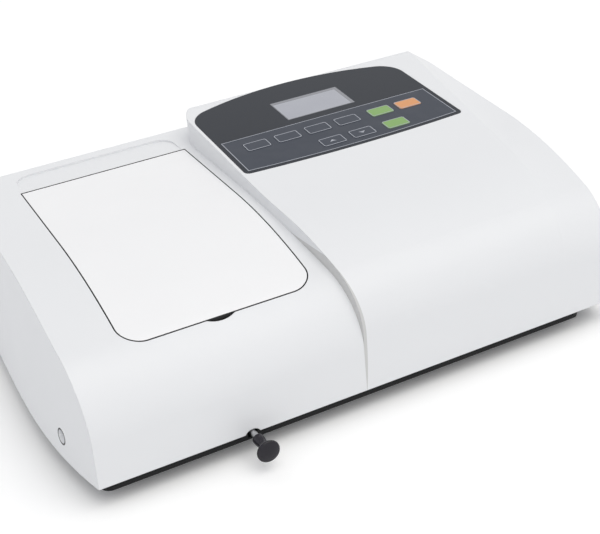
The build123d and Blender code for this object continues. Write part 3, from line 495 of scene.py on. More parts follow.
@dataclass(frozen=True, kw_only=True)
class CoverPlastic(WhitePlastic):
    """The cover's plastic: eased mould edges along the deck's step, sharp ones round the lid, and painted
    shade in the lid's gap, in the finger notch, at the screw recesses' rims and where the step's wall is
    missing.
    """

    step_x: float
    crease_x: float
    cheek_x: float
    deck_z: float
    lid: LidPlan
    screw_middle: Point
    screw_spread: float
    fade_width: float = 90 * MM
    smudge: Blotches = Blotches(30 * MM, 0.35, 0.7)
    # Painted shade: the lid's gap, the lid's plan grown by this reach, is painted near black; under the lid
    # this also covers the compartment's rim, which is dark in itself.
    gap_shade_reach: float = 0.9 * MM
    gap_shade_and_rim_colour: Colour = (0.02, 0.02, 0.022)
    # Painted shade: the finger notch's crescent before the lid is painted dark grey.
    notch_place: Point = (-113.5 * MM, -102.7 * MM)
    notch_radius: float = 22 * MM
    notch_shade_colour: Colour = (0.1, 0.1, 0.102)
    # Painted shade: a dark ring between these two radii at the rim of each side screw's recess.
    recess_radius: float = 5.02 * MM
    recess_shade_ring: float = 6.3 * MM
    step_straight_y: float = 2.5 * MM
    step_sweep: float = 1069 * MM
    # Painted shade: a grey band down the nose where the step's wall is missing from the cover's shape; these
    # sizes place and shape the band.
    wall_shade_foot: float = 17 * MM
    wall_shade_top: float = 112 * MM
    wall_shade_rear: float = 0.0
    wall_shade_width: float = 2.6 * MM
    wall_shade_lap: float = 0.3 * MM
    wall_shade_colour: Colour = (0.6, 0.6, 0.595)
    soft_edge: float = 0.9 * MM
    sharp_edge: float = 0.7 * MM
    step_band: float = 16 * MM
    crease_band: float = 48 * MM

    def material(self) -> bpy.types.Material:
        """Paints shade on the white: a grey band where the step's wall is missing, the finger notch's
        crescent, the lid's gap, which under the lid also covers the compartment's own dark rim, and rings at
        the recesses' rims.

        Returns:
            The material.
        """
        shader = Shader(self.name)
        across, back, height = shader.axes()
        # Painted shade: a grey band where the step's wall is missing.
        wall_shaded = shader.mix(self._wall_shade(across, back, height), self.white(shader), self.wall_shade_colour)
        # Painted shade in the finger notch's crescent.
        notch_shaded = shader.mix(self._notch_shade(across, back), wall_shaded, self.notch_shade_colour)
        # Painted shade in the lid's gap and at the screw recesses' rims; under the lid it also covers the
        # compartment's own dark rim.
        dark = self.lid.mask(shader, self.gap_shade_reach).largest(self._recess_shade(back, height))
        colour = shader.mix(dark, notch_shaded, self.gap_shade_and_rim_colour)
        return self.finished(shader, colour, self._edges(shader, across, height))

    def _edges(self, shader: Shader, across: Value, height: Value) -> Value:
        """Eases the edges, most at the cheek and along the raised deck's step and crease.

        Args:
            shader: the material's nodes.
            across: the surface's X.
            height: its Z.

        Returns:
            The eased normal.
        """
        near_step = abs(across - self.step_x) < self.step_band
        near_crease = abs(across - self.crease_x) < self.crease_band
        on_deck = height > self.deck_z
        soft = (across < self.cheek_x).largest(near_step.largest(near_crease) * on_deck)
        sharp_normal, soft_normal = shader.rounded(self.sharp_edge), shader.rounded(self.soft_edge)
        return shader.mix(soft, sharp_normal, soft_normal, mixed=Mixed.VECTOR)

    def _notch_shade(self, across: Value, back: Value) -> Value:
        """Finds the finger notch's crescent before the lid, which is painted as shade.

        Args:
            across: the surface's X.
            back: its Y.

        Returns:
            1 in the crescent, else 0.
        """
        aside = across - self.notch_place[0]
        behind = back - self.notch_place[1]
        return aside * aside + behind * behind < self.notch_radius**2

    def _recess_shade(self, back: Value, height: Value) -> Value:
        """Finds the rings of painted shade at the rims of the side screws' recesses.

        Args:
            back: the surface's Y.
            height: its Z.

        Returns:
            1 on a ring, else 0.
        """
        along = abs(back - self.screw_middle[0]) - self.screw_spread
        above = height - self.screw_middle[1]
        distance = along * along + above * above
        return (distance > self.recess_radius**2) * (distance < self.recess_shade_ring**2)

    def _wall_shade(self, across: Value, back: Value, height: Value) -> Value:
        """Finds the band of painted shade that stands for the step's missing wall down the nose, which
        narrows to nothing at the tray.

        Args:
            across: the surface's X.
            back: its Y.
            height: its Z.

        Returns:
            1 on the painted band, else 0.
        """
        forward = (self.step_straight_y - back).largest(0.0)
        wall_x = self.step_x + forward * forward / (2 * self.step_sweep)
        rise = (height - self.wall_shade_foot) / (self.wall_shade_top - self.wall_shade_foot)
        width = 4 * rise * (1 - rise) * self.wall_shade_width
        past_wall = across - wall_x
        return (past_wall > -self.wall_shade_lap) * (past_wall < width) * (back < self.wall_shade_rear)


@dataclass(frozen=True, kw_only=True)
class LidPlastic(WhitePlastic):
    """The lid's plastic: white on top, with sides painted dark for the shadow in the gap."""

    lid: LidPlan
    side: float = 0.06 * MM
    # Painted shade: the lid's sides are painted near black for the shadow in the gap around the lid.
    side_shade_colour: Colour = (0.05, 0.05, 0.052)
    edge: float = 0.6 * MM

    def material(self) -> bpy.types.Material:
        """Paints shade on the lid's sides and leaves its top white.

        Returns:
            The material.
        """
        shader = Shader(self.name)
        top = self.lid.mask(shader, -self.side)
        # The sides get the painted shade, the top keeps the white.
        colour = shader.mix(top, self.side_shade_colour, self.white(shader))
        return self.finished(shader, colour, shader.rounded(self.edge))


@dataclass(frozen=True)
class Rubber:
    """A matt black rubber with a floury bloom."""

    name: str
    colour: Colour
    roughness: float = 0.8
    grain: Grain = Grain(0.8 * MM, 0.05 * MM, detail=2.0)
    edge: float = 0.8 * MM
    bloom: Blotches = Blotches(3 * MM, 0.45, 0.8)
    bloom_colour: Colour = tone("4a4a4a")
    bloom_share: float = 0.5
    bloom_roughness: float = 0.08

    def material(self) -> bpy.types.Material:
        """Lays the bloom on the colour, over a coarse soft grain.

        Returns:
            The material.
        """
        shader = Shader(self.name)
        bloom = self.bloom.on(shader)
        return shader.surface(
            Base_Color=shader.mix(self.bloom_share * bloom, self.colour, self.bloom_colour),
            Roughness=self.roughness + self.bloom_roughness * bloom,
            Normal=self.grain.over(shader, shader.rounded(self.edge)),
        )


@dataclass(frozen=True)
class WorkedMetal:
    """A bare or plated metal, brushed, cast or bright."""

    name: str
    colour: Colour
    work: Metal
    roughness: float = 0.35
    metallic: float = 1.0
    edge: float = 0.4 * MM
    tarnish: Blotches = Blotches(14 * MM, 0.4, 0.75)
    tarnish_fade: float = 0.18
    tarnish_share: float = 0.6
    tarnish_roughness: float = 0.1
    grain_roughness: float = 0.08

    def material(self) -> bpy.types.Material:
        """Lays a thin tarnish in blotches over draw lines or cast grain.

        Returns:
            The material.
        """
        shader = Shader(self.name)
        grain = self.work.value.level(shader)
        tarnish = self.tarnish.on(shader)
        duller = tuple(part * (1 - self.tarnish_fade) for part in self.colour)
        return shader.surface(
            Base_Color=shader.mix(self.tarnish_share * tarnish, self.colour, duller),
            Metallic=self.metallic,
            Roughness=self.roughness + self.tarnish_roughness * tarnish + self.grain_roughness * grain,
            Normal=shader.bump(grain, self.work.value.depth, shader.rounded(self.edge)),
        )


@dataclass(frozen=True)
class PrintedSheet:
    """The panel's polyester sheet: a dark print with a lighter field round the keys."""

    name: str
    frame_colour: Colour
    field_colour: Colour
    left: float
    right: float
    front: float
    rear: float
    bow: float
    roughness: float = 0.4
    edge: float = 0.3 * MM
    shine: float = 0.2
    speckle: Grain = Grain(0.35 * MM, 0.01 * MM, detail=2.0)
    speckle_shades: tuple = ((0.3, 0.9), (0.7, 1.0))
    speckle_roughness: float = 0.04
    marks: Blotches = Blotches(16 * MM, 0.45, 0.7)
    marks_gloss: float = 0.09

    def material(self) -> bpy.types.Material:
        """Prints the field by place, with a velvet grain and finger marks near the keys.

        Returns:
            The material.
        """
        shader = Shader(self.name)
        in_field = self._field(shader)
        speckle = self.speckle.level(shader)
        ink = shader.mix(in_field, self.frame_colour, self.field_colour)
        shade = shader.ramp(speckle, self.speckle_shades)
        worn = self.marks_gloss * self.marks.on(shader) * in_field
        return shader.surface(
            Base_Color=shader.mix(1.0, ink, shade, Blend.MULTIPLY),
            Roughness=self.roughness - worn + self.speckle_roughness * speckle,
            Normal=shader.bump(speckle, self.speckle.depth, shader.rounded(self.edge)),
            Specular_IOR_Level=self.shine,
        )

    def _field(self, shader: Shader) -> Value:
        """Finds the field round the keys, whose front edge bows.

        Args:
            shader: the material's nodes.

        Returns:
            1 in the field, else 0.
        """
        across, back, _ = shader.axes()
        sideways = (across - (self.left + self.right) / 2) / ((self.right - self.left) / 2)
        front_line = self.front - self.bow * (1 - sideways * sideways)
        return (abs(sideways) < 1.0) * (back < self.rear) * (back > front_line)


@dataclass(frozen=True)
class DisplayGlass:
    """The display behind its window: a pale dot field inside a grey frame print, with painted shade of the
    recessed frame along its rear and right edges.
    """

    name: str
    field_colour: Colour
    frame_colour: Colour
    low: Point
    high: Point
    # The rear and right bands are wider than the printed frame: painted shade of the recessed window's
    # frame.
    frame_shade_rear: float = 4.2 * MM
    frame_shade_right: float = 3.4 * MM
    frame_edge: float = 0.9 * MM
    pitch: float = 0.48 * MM
    line_share: float = 0.15
    line_colour: Colour = tone("6e7468")
    line_strength: float = 0.12
    cloud_width: float = 25 * MM
    cloud_detail: float = 2.0
    cloud_colour: Colour = tone("c4c8cf")
    cloud_strength: float = 0.18
    smear_width: float = 9 * MM
    smear_detail: float = 4.0
    roughness: float = 0.2
    smear_roughness: float = 0.1
    coat: float = 0.5
    smear_coat: float = 0.2

    def material(self) -> bpy.types.Material:
        """Draws fine dots in the field, and by place the frame with its painted shade, under a glossy
        window.

        Returns:
            The material.
        """
        shader = Shader(self.name)
        across, back, _ = shader.axes()
        line = self.line_share * self.pitch
        lines = (across.repeat(self.pitch) < line).largest(back.repeat(self.pitch) < line)
        dotted = shader.mix(self.line_strength * lines, self.field_colour, self.line_colour)
        cloud = self.cloud_strength * shader.noise(self.cloud_width, self.cloud_detail)
        clouded = shader.mix(cloud, dotted, self.cloud_colour)
        smear = shader.noise(self.smear_width, self.smear_detail)
        return shader.surface(
            # The frame print, widened at the rear and right by painted shade.
            Base_Color=shader.mix(self._frame_and_shade(across, back), clouded, self.frame_colour),
            Roughness=self.roughness + self.smear_roughness * smear,
            Coat_Weight=self.coat + self.smear_coat * smear,
        )

    def _frame_and_shade(self, across: Value, back: Value) -> Value:
        """Finds the frame print along the window's four edges, widened at the rear and right by painted
        shade.

        Args:
            across: the surface's X.
            back: its Y.

        Returns:
            1 on the frame or its painted shade, else 0.
        """
        rear = back > self.high[1] - self.frame_shade_rear
        right = across > self.high[0] - self.frame_shade_right
        left = across < self.low[0] + self.frame_edge
        front = back < self.low[1] + self.frame_edge
        return rear.largest(right).largest(left).largest(front)


@dataclass(frozen=True)
class BoardLaminate:
    """A circuit board's green lacquer over copper tracks."""

    name: str
    lacquer: Colour
    track: Colour
    track_width: float = 0.4 * MM
    track_height: float = 0.03 * MM
    lane_pitch: float = 1.27 * MM
    cross_pitch: float = 2.54 * MM
    wander_width: float = 11 * MM
    wander_reach: float = 2 * MM
    patch_width: float = 6 * MM
    patch_detail: float = 1.0
    patch_level: float = 0.47
    edge: float = 0.2 * MM
    roughness: float = 0.35
    wander_roughness: float = 0.1

    def material(self) -> bpy.types.Material:
        """Lays tracks on a grid that wanders, in patches.

        Returns:
            The material.
        """
        shader = Shader(self.name)
        across, back, _ = shader.axes()
        wander = shader.noise(self.wander_width, 0.0)
        shift = self.wander_reach * wander
        lane = (across + shift).repeat(self.lane_pitch) < self.track_width
        cross_lane = (back + shift).repeat(self.cross_pitch) < self.track_width
        patch = shader.noise(self.patch_width, self.patch_detail) > self.patch_level
        tracks = lane.largest(cross_lane) * patch
        return shader.surface(
            Base_Color=shader.mix(tracks, self.lacquer, self.track),
            Roughness=self.roughness + self.wander_roughness * wander,
            Normal=shader.bump(tracks, self.track_height, shader.rounded(self.edge)),
        )


@dataclass(frozen=True)
class ClearGlass:
    """Clear optical or quartz glass with a faint film of dust."""

    name: str
    tint: Colour
    roughness: float = 0.02
    bending: float = 1.46
    dust: Blotches = Blotches(5 * MM, 0.5, 0.8, detail=5.0)
    dust_colour: Colour = tone("d9d9d4")
    dust_share: float = 0.2
    dust_roughness: float = 0.15

    def material(self) -> bpy.types.Material:
        """Lays dust on clear glass.

        Returns:
            The material.
        """
        shader = Shader(self.name)
        dust = self.dust.on(shader)
        return shader.surface(
            Base_Color=shader.mix(self.dust_share * dust, self.tint, self.dust_colour),
            Roughness=self.roughness + self.dust_roughness * dust,
            Transmission_Weight=1.0,
            IOR=self.bending,
        )


@dataclass(frozen=True)
class InkPrint:
    """A screen-printed ink, slightly broken at its grain."""

    name: str
    colour: Colour
    roughness: float = 0.4
    speckle_width: float = 0.3 * MM
    speckle_detail: float = 2.0
    speckle_shades: tuple = ((0.3, 0.9), (0.6, 1.0))
    speckle_roughness: float = 0.1

    def material(self) -> bpy.types.Material:
        """Gives the ink a fine mottle.

        Returns:
            The material.
        """
        shader = Shader(self.name)
        speckle = shader.ramp(shader.noise(self.speckle_width, self.speckle_detail), self.speckle_shades)
        return shader.surface(
            Base_Color=shader.mix(1.0, self.colour, speckle, Blend.MULTIPLY),
            Roughness=self.roughness + self.speckle_roughness * speckle,
        )


@dataclass(frozen=True)
class StudioFloor:
    """The studio's matt white floor, a little brighter to the camera than its light makes it."""

    name: str
    colour: Colour
    roughness: float = 0.9
    shine: float = 0.1
    lift: float = 0.07
    fibre_width: float = 2 * MM
    fibre_detail: float = 2.0
    fibre_colour: Colour = tone("f2f2f2")
    fibre_share: float = 0.02

    def material(self) -> bpy.types.Material:
        """Gives the floor the faintest paper grain.

        Returns:
            The material.
        """
        shader = Shader(self.name)
        fibre = self.fibre_share * shader.noise(self.fibre_width, self.fibre_detail)
        return shader.surface(
            Base_Color=shader.mix(fibre, self.colour, self.fibre_colour),
            Roughness=self.roughness,
            Specular_IOR_Level=self.shine,
            Emission_Color=shader.mix(shader.ray(Ray.CAMERA), BLACK, (self.lift, self.lift, self.lift)),
            Emission_Strength=1.0,
        )


@dataclass(frozen=True)
class DeckPlane:
    """The raised deck's sloping top, on which the panel and its prints lie."""

    rear_y: float
    rear_z: float
    angle: float = math.radians(5.3)

    @classmethod
    def on(cls, node: str) -> "DeckPlane":
        """The plane through the rear top edge of a CAD node's box."""
        _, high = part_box(node)
        return cls(high.y, high.z)

    def point(self, across: float, back: float, lift: float) -> Vector:
        """The point over an X and Y on the plane, at a height off it."""
        height = self.rear_z + (back - self.rear_y) * math.tan(self.angle)
        return Vector((across, back - lift * math.sin(self.angle), height + lift * math.cos(self.angle)))


def add_object(name: str, mesh: bmesh.types.BMesh) -> bpy.types.Object:
    """Turns an edited mesh into an object in the scene.

    Args:
        name: the object's name.
        mesh: the edited mesh, which is freed.

    Returns:
        The new object.
    """
    data = bpy.data.meshes.new(name)
    mesh.to_mesh(data)
    mesh.free()
    made = bpy.data.objects.new(name, data)
    bpy.context.scene.collection.objects.link(made)
    return made


@dataclass
class Prints:
    """Inks printed on the sheet and the keys, as films a little proud of them."""

    floor: float = 0.03 * MM
    top: float = 0.1 * MM
    corner_steps: int = 6

    def outline(self, centre: Point, size: Point, radius: float) -> list[Point]:
        """The points of a rounded rectangle.

        Args:
            centre: its middle.
            size: its width and length.
            radius: its corners' radius.

        Returns:
            The points, anticlockwise.
        """
        points = []
        for corner, (side_x, side_y) in enumerate(((1, 1), (-1, 1), (-1, -1), (1, -1))):
            middle_x = centre[0] + side_x * (size[0] / 2 - radius)
            middle_y = centre[1] + side_y * (size[1] / 2 - radius)
            for step in range(self.corner_steps + 1):
                turn = (corner + step / self.corner_steps) * math.pi / 2
                points.append((middle_x + radius * math.cos(turn), middle_y + radius * math.sin(turn)))
        return points

    def ring(self, name: str, plane: DeckPlane, outer: list[Point], inner: list[Point]) -> bpy.types.Object:
        """A closed line of ink between two outlines.

        Args:
            name: the piece's name.
            plane: the plane that it lies on.
            outer: the outer outline.
            inner: the inner outline, with as many points.

        Returns:
            The new piece.
        """
        mesh = bmesh.new()
        loops = ((outer, self.floor), (outer, self.top), (inner, self.top), (inner, self.floor))
        rows = [self._row(mesh, plane, points, lift) for points, lift in loops]
        for here, there in zip(rows, rows[1:] + rows[:1]):
            self._band(mesh, here, there)
        return self._closed(name, mesh)

    def patch(self, name: str, plane: DeckPlane, points: list[Point]) -> bpy.types.Object:
        """A filled patch of ink.

        Args:
            name: the piece's name.
            plane: the plane that it lies on.
            points: its outline.

        Returns:
            The new piece.
        """
        mesh = bmesh.new()
        low = self._row(mesh, plane, points, self.floor)
        high = self._row(mesh, plane, points, self.top)
        mesh.faces.new(high)
        mesh.faces.new(low[::-1])
        self._band(mesh, low, high)
        return self._closed(name, mesh)

    def _row(self, mesh: bmesh.types.BMesh, plane: DeckPlane, points: list[Point], lift: float) -> list:
        """The outline's corners, at a height off the plane."""
        return [mesh.verts.new(plane.point(x, y, lift)) for x, y in points]

    def _band(self, mesh: bmesh.types.BMesh, here: list, there: list) -> None:
        """Joins two rows of corners by a closed band of faces.

        Args:
            mesh: the mesh.
            here: the first row.
            there: the second row, with as many corners.
        """
        for place in range(len(here)):
            after = (place + 1) % len(here)
            mesh.faces.new((here[place], here[after], there[after], there[place]))

    def _closed(self, name: str, mesh: bmesh.types.BMesh) -> bpy.types.Object:
        """Turns the faces of a closed mesh outwards and makes its object."""
        bmesh.ops.recalc_face_normals(mesh, faces=mesh.faces)
        return add_object(name, mesh)


def dress(node: str, material: bpy.types.Material) -> None:
    """Gives a CAD node one finish.

    Args:
        node: the node's name.
        material: the finish.
    """
    target = bpy.data.objects[node]
    for slot in target.material_slots:
        slot.material = material
    if not target.material_slots:
        target.data.materials.append(material)
    LOG.info("%s wears %s", node, material.name)


@dataclass
class Housing:
    """The cover, the lid, the tray, the feet and what fastens them."""

    panel_rim: float = 3 * MM
    cheek_reach: float = 24 * MM
    screws: tuple = ("cover_screws", "foot_screws", "hinge_pins")
    feet: tuple = ("foot_front_left", "foot_front_right", "foot_rear_left", "foot_rear_right")

    def build(self) -> None:
        """Dresses every node of the housing."""
        self._cover_and_lid()
        tray = MouldedPlastic(
            "tray_black", tone("1d1e1f"), roughness=0.55, grain=Grain(0.9 * MM, 0.05 * MM), shine=0.15
        )
        dress("base_tray", tray.material())
        rubber = Rubber("rubber_black", tone("222222")).material()
        for node in (*self.feet, "lid_seal"):
            dress(node, rubber)
        screw = WorkedMetal("steel_screw", tone("f0f1f3"), Metal.BRIGHT, roughness=0.5, metallic=0.3)
        steel = screw.material()
        for node in self.screws:
            dress(node, steel)
        bracket = WorkedMetal("bracket_sheet", tone("b3b5b7"), Metal.BRUSHED, roughness=0.36)
        dress("side_brackets", bracket.material())

    def _cover_and_lid(self) -> None:
        """Dresses the cover and the lid by the places of the lid, the panel and the screws."""
        low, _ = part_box("main_cover")
        lid_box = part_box("lid")
        lid = LidPlan(*measure(lid_box))
        panel_low, panel_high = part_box("panel_overlay")
        screw_middle, screw_half = measure(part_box("cover_screws"), "yz")
        cover = CoverPlastic(
            name="cover_white",
            colour=tone("e9eaec"),
            step_x=panel_low.x - self.panel_rim,
            crease_x=panel_high.x,
            cheek_x=low.x + self.cheek_reach,
            deck_z=lid_box[1].z,
            lid=lid,
            screw_middle=screw_middle,
            screw_spread=screw_half[0] - screw_half[1],
        )
        dress("main_cover", cover.material())
        dress("lid", LidPlastic(name="lid_white", colour=tone("f4f4f5"), lid=lid).material())


@dataclass
class ControlPanel:
    """The printed sheet, the display and the nine keys."""

    border: float = 4 * MM
    line_width: float = 0.6 * MM
    line_steps: int = 24
    field_rear: float = 70.5 * MM
    bow: float = 4 * MM
    key_count: int = 9
    key_margin: float = 0.15 * MM
    key_end_margin: float = 0.3 * MM
    key_line: float = 0.6 * MM
    key_round: float = 2 * MM
    arrow_width: float = 6 * MM
    arrow_length: float = 3.2 * MM
    arrow_notch: float = 0.55
    arrow_turns: dict[int, int] = field(default_factory=lambda: {5: 1, 6: -1})
    prints: Prints = field(default_factory=Prints)

    def build(self) -> None:
        """Dresses the panel's nodes and prints the inks."""
        low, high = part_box("panel_overlay")
        left = low.x + self.border
        right = high.x - self.border
        front = low.y + self.bow + self.border
        sheet = PrintedSheet(
            "panel_slate", tone("272b33"), tone("3c414c"), left, right, front, self.field_rear, self.bow
        )
        dress("panel_overlay", sheet.material())
        self._display()
        ink = InkPrint("line_ink", tone("b0b4bd")).material()
        self._border_line(left, right, front, ink)
        self._keys(ink)

    def _display(self) -> None:
        """Dresses the display and the board under it."""
        low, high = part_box("lcd_window")
        glass = DisplayGlass("lcd_glass", tone("999ba6"), tone("74767e"), (low.x, low.y), (high.x, high.y))
        dress("lcd_window", glass.material())
        dress("lcd_module", MouldedPlastic("lcd_frame", tone("3c3d40")).material())
        dress("keypad_board", BoardLaminate("keypad_lacquer", tone("1d6b3c"), tone("3f8a4e")).material())
        dress("key_switches", MouldedPlastic("switch_black", tone("303030"), roughness=0.45).material())

    def _border_line(self, left: float, right: float, front: float, ink: bpy.types.Material) -> None:
        """Prints the pale line round the key field.

        Args:
            left: the field's left edge.
            right: its right edge.
            front: its front edge at the sides.
            ink: the line's finish.
        """
        plane = DeckPlane.on("panel_overlay")
        middle, half = (left + right) / 2, (right - left) / 2
        spread = [place / self.line_steps * 2 - 1 for place in range(self.line_steps + 1)]
        loops = []
        for inset in (0.0, self.line_width):
            reach = half - inset
            loop = [(middle + part * reach, front + inset - self.bow * (1 - part * part)) for part in spread]
            loop += [(middle - part * reach, self.field_rear - inset) for part in spread]
            loops.append(loop)
        piece = self.prints.ring("panel_line", plane, loops[0], loops[1])
        self._finish(piece, ink, "instrument")

    def _keys(self, ink: bpy.types.Material) -> None:
        """Dresses the keys, rings them with ink and prints the arrows.

        Args:
            ink: the finish of the pale lines.
        """
        shades = {"key_slate": "3f444f", "key_green": "88ae6a", "key_orange": "df9f6c"}
        slate, green, orange = (
            MouldedPlastic(name, tone(code), roughness=0.4, mottle=0.05, shine=0.2).material()
            for name, code in shades.items()
        )
        fills = {7: green, 8: green, 9: orange}
        for number in range(1, self.key_count + 1):
            node = f"key_{number}"
            dress(node, fills.get(number, slate))
            self._key_prints(node, self.arrow_turns.get(number), ink)

    def _key_prints(self, node: str, turn: int | None, ink: bpy.types.Material) -> None:
        """Prints a key's ring, and its arrow where it has one.

        Args:
            node: the key's node.
            turn: which way its arrow points, or None for a key without one.
            ink: the prints' finish.
        """
        plane = DeckPlane.on(node)
        centre, half = measure(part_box(node))
        size = (2 * (half[0] - self.key_margin), 2 * (half[1] - self.key_end_margin))
        inner_size = (size[0] - 2 * self.key_line, size[1] - 2 * self.key_line)
        outer = self.prints.outline(centre, size, self.key_round - self.key_margin)
        inner = self.prints.outline(centre, inner_size, self.key_round - self.key_margin - self.key_line)
        self._finish(self.prints.ring(f"{node}_line", plane, outer, inner), ink, f"{node}_body")
        if turn is not None:
            arrow = self.prints.patch(f"{node}_arrow", plane, self._arrow(centre, turn))
            self._finish(arrow, ink, f"{node}_body")

    def _arrow(self, centre: Point, turn: int) -> list[Point]:
        """A key's arrow.

        Args:
            centre: the key's middle.
            turn: 1 for an arrow to the rear, -1 for one to the front.

        Returns:
            The arrow's outline.
        """
        half, tip = self.arrow_width / 2, self.arrow_length / 2
        shape = [(0, tip), (-half, -tip), (0, -self.arrow_notch * tip), (half, -tip)]
        return [(centre[0] + x, centre[1] + turn * y) for x, y in shape]

    def _finish(self, piece: bpy.types.Object, ink: bpy.types.Material, body: str) -> None:
        """Gives a print its ink and its body.

        Args:
            piece: the print.
            ink: its finish.
            body: the CAD body that it moves with.
        """
        piece.data.materials.append(ink)
        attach(piece, body)
        LOG.info("%s printed on %s", piece.name, body)


@dataclass
class SampleBay:
    """The sample compartment, its carriage, and the rod and knob that slide it."""

    def build(self) -> None:
        """Dresses the compartment's nodes."""
        black = MouldedPlastic("box_black", tone("242426"), roughness=0.7, grain=Grain(0.8 * MM, 0.04 * MM))
        dress("sample_compartment", black.material())
        dress("guide_rails", WorkedMetal("rail_steel", tone("b8babc"), Metal.BRUSHED, 0.25).material())
        dress("cuvette_carriage", WorkedMetal("anodised", tone("3a3a3d"), Metal.CAST, 0.42).material())
        dress("pull_rod", WorkedMetal("rod_steel", tone("c4c5c7"), Metal.BRIGHT, 0.2).material())
        knob = MouldedPlastic(
            "knob_black",
            tone("242229"),
            roughness=0.25,
            grain=Grain(1.2 * MM, 0.01 * MM),
            edge=1.0 * MM,
            mottle=0.1,
            coat=0.1,
            shine=0.25,
        )
        dress("rod_knob", knob.material())


@dataclass
class RearConnections:
    """The rear panel with its inlet, switch, fuse, data port and fan."""

    black_parts: tuple = ("mains_inlet", "switch_frame", "power_rocker", "fuse_holder", "fan_frame")

    def build(self) -> None:
        """Dresses the rear's nodes."""
        paint = MouldedPlastic(
            "rear_paint", tone("d5d7d8"), grain=Grain(1.1 * MM, 0.06 * MM), edge=0.4 * MM
        )
        dress("rear_panel", paint.material())
        black = MouldedPlastic("connector_black", tone("262628"), roughness=0.45).material()
        for node in self.black_parts:
            dress(node, black)
        dress("fan_rotor", MouldedPlastic("fan_black", tone("2d2d30"), roughness=0.4).material())
        dress("fan_guard", WorkedMetal("guard_wire", tone("c6c8ca"), Metal.BRIGHT, 0.25).material())
        dress("data_port", WorkedMetal("port_shell", tone("bfc1c3"), Metal.BRIGHT, 0.28).material())


@dataclass
class OpticalBench:
    """The lamp, the monochromator and the detector."""

    castings: tuple = ("monochromator_base", "lamp_house", "detector_housing", "lens_ring")
    plates: tuple = ("monochromator_cover", "slit_plates", "lamp_holder")
    dark_parts: tuple = ("grating_table", "filter_motor", "filter_wheel")
    mirrors: tuple = ("collimating_mirror", "diffraction_grating")

    def build(self) -> None:
        """Dresses the optics' nodes."""
        finishes = {
            self.castings: WorkedMetal("cast_grey", tone("b4b6b8"), Metal.CAST, 0.45),
            self.plates: WorkedMetal("sheet_steel", tone("bcbdbf"), Metal.BRUSHED, 0.34),
            self.dark_parts: WorkedMetal("optics_anodised", tone("37373a"), Metal.CAST, 0.42),
            self.mirrors: WorkedMetal("mirror_glass", tone("eff0f2"), Metal.BRIGHT, 0.04),
        }
        for nodes, finish in finishes.items():
            material = finish.material()
            for node in nodes:
                dress(node, material)
        diode = MouldedPlastic("diode_case", tone("2c2a30"), roughness=0.25, coat=0.4)
        dress("photodiode", diode.material())
        dress("halogen_lamp", ClearGlass("lamp_glass", tone("f2f4f6")).material())
        dress("condenser_lens", ClearGlass("lens_glass", tone("eef3f6")).material())


@dataclass
class Electronics:
    """The boards and the supply in the base."""

    def build(self) -> None:
        """Dresses the electronics' nodes."""
        dress("main_board", BoardLaminate("board_green", tone("1b6338"), tone("3c854b")).material())
        dress("power_supply", WorkedMetal("supply_case", tone("bdbfc1"), Metal.BRUSHED, 0.35).material())
        dress("board_posts", WorkedMetal("post_brass", tone("c9b071"), Metal.BRIGHT, 0.3).material())


@dataclass(frozen=True)
class Sun:
    """A wide soft sun, with its turns about X, Y and Z and its spread in degrees."""

    name: str
    turn: tuple
    strength: float
    colour: Colour
    spread: float = 60

    def shine(self) -> None:
        """Adds the lamp to the scene."""
        data = bpy.data.lights.new(self.name, "SUN")
        data.energy = self.strength
        data.color = self.colour
        data.angle = math.radians(self.spread)
        lamp = bpy.data.objects.new(self.name, data)
        lamp.rotation_euler = tuple(math.radians(angle) for angle in self.turn)
        bpy.context.scene.collection.objects.link(lamp)


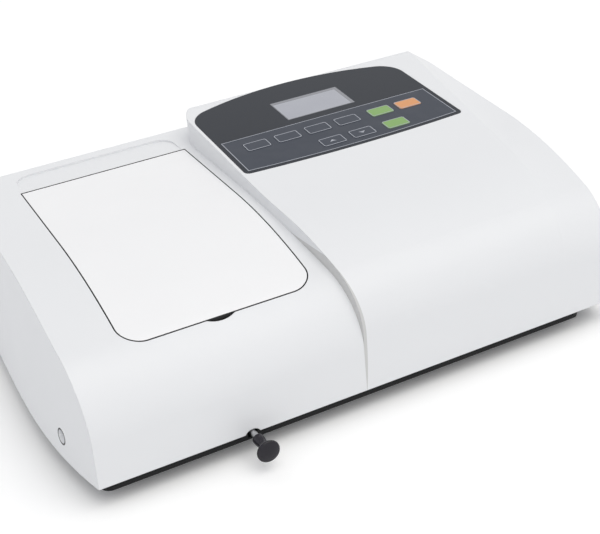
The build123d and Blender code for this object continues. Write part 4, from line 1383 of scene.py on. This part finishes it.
@dataclass
class Studio:
    """The floor, the light and the camera at the photograph's viewing angle."""

    image_width: float = 600
    image_height: float = 534
    right_vanish: Point = (3300, -705)
    rear_vanish: Point = (-377, -328)
    anchor_pixel: Point = (97.6, 488)
    anchor_place: tuple = (-0.225, -0.1475, 0.017)
    anchor_depth: float = 0.7995
    sensor: float = 36
    view_range: float = 100
    floor_size: float = 12
    ambient: float = 0.63
    room_tint: Colour = (0.972, 0.985, 1.015)
    key: Sun = Sun("key_light", turn=(22, 10, 0), strength=1.22, colour=(1.0, 0.98, 0.935))
    side: Sun = Sun("side_light", turn=(60, 0, -70), strength=0.02, colour=(0.78, 0.88, 1.0))

    def build(self) -> None:
        """Makes the floor, the world, the lights and the camera."""
        self._floor()
        self._world()
        self.key.shine()
        self.side.shine()
        self._camera()

    def _floor(self) -> None:
        """Makes the floor as one wide plane."""
        half = self.floor_size / 2
        mesh = bmesh.new()
        places = ((-half, -half), (half, -half), (half, half), (-half, half))
        mesh.faces.new([mesh.verts.new((x, y, 0)) for x, y in places])
        floor = add_object("floor", mesh)
        floor.data.materials.append(StudioFloor("floor_white", tone("ffffff")).material())

    def _world(self) -> None:
        """Lights the room evenly, and shows white to the camera, in reflections and through glass."""
        world = bpy.data.worlds.new("studio")
        bpy.context.scene.world = world
        nodes = Nodes(world)
        seen = nodes.ray(Ray.CAMERA, Ray.GLOSSY, Ray.TRANSMISSION)
        inputs = {
            "Color": nodes.mix(seen, self.room_tint, WHITE),
            "Strength": self.ambient + (1 - self.ambient) * seen,
        }
        light = nodes.node("ShaderNodeBackground", inputs=inputs)
        nodes.node("ShaderNodeOutputWorld", inputs={"Surface": light}, output=None)

    def _camera(self) -> None:
        """Places the camera from the photograph's two vanishing points and one corner's place."""
        centre = Vector((self.image_width / 2, self.image_height / 2))
        right = Vector(self.right_vanish) - centre
        rear = Vector(self.rear_vanish) - centre
        focal = math.sqrt(-right.dot(rear))
        along_x = Vector((right.x, right.y, focal)).normalized()
        along_y = Vector((rear.x, rear.y, focal)).normalized()
        along_z = along_x.cross(along_y).normalized()
        if along_z.y > 0:
            along_z = -along_z
        turn = Matrix((along_x, along_y, along_z)).transposed()
        pixel = Vector(self.anchor_pixel) - centre
        ray = Vector((pixel.x, pixel.y, focal)) / focal * self.anchor_depth
        place = Vector(self.anchor_place) - turn.transposed() @ ray
        pose = Matrix((turn[0], -turn[1], -turn[2])).transposed()
        data = bpy.data.cameras.new("camera")
        data.sensor_width = self.sensor
        data.lens = focal / self.image_width * self.sensor
        data.clip_end = self.view_range
        camera = bpy.data.objects.new("camera", data)
        camera.matrix_world = Matrix.Translation(place) @ pose.to_4x4()
        bpy.context.scene.collection.objects.link(camera)
        bpy.context.scene.camera = camera


def main() -> None:
    """Loads the frame, builds the studio and dresses each sub-assembly in order."""
    logging.basicConfig(level=logging.INFO, format="%(message)s")
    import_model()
    bpy.context.scene.view_settings.view_transform = "Standard"
    Studio().build()
    for part in (Housing(), ControlPanel(), SampleBay(), RearConnections(), OpticalBench(), Electronics()):
        part.build()


if __name__ == "__main__":
    main()
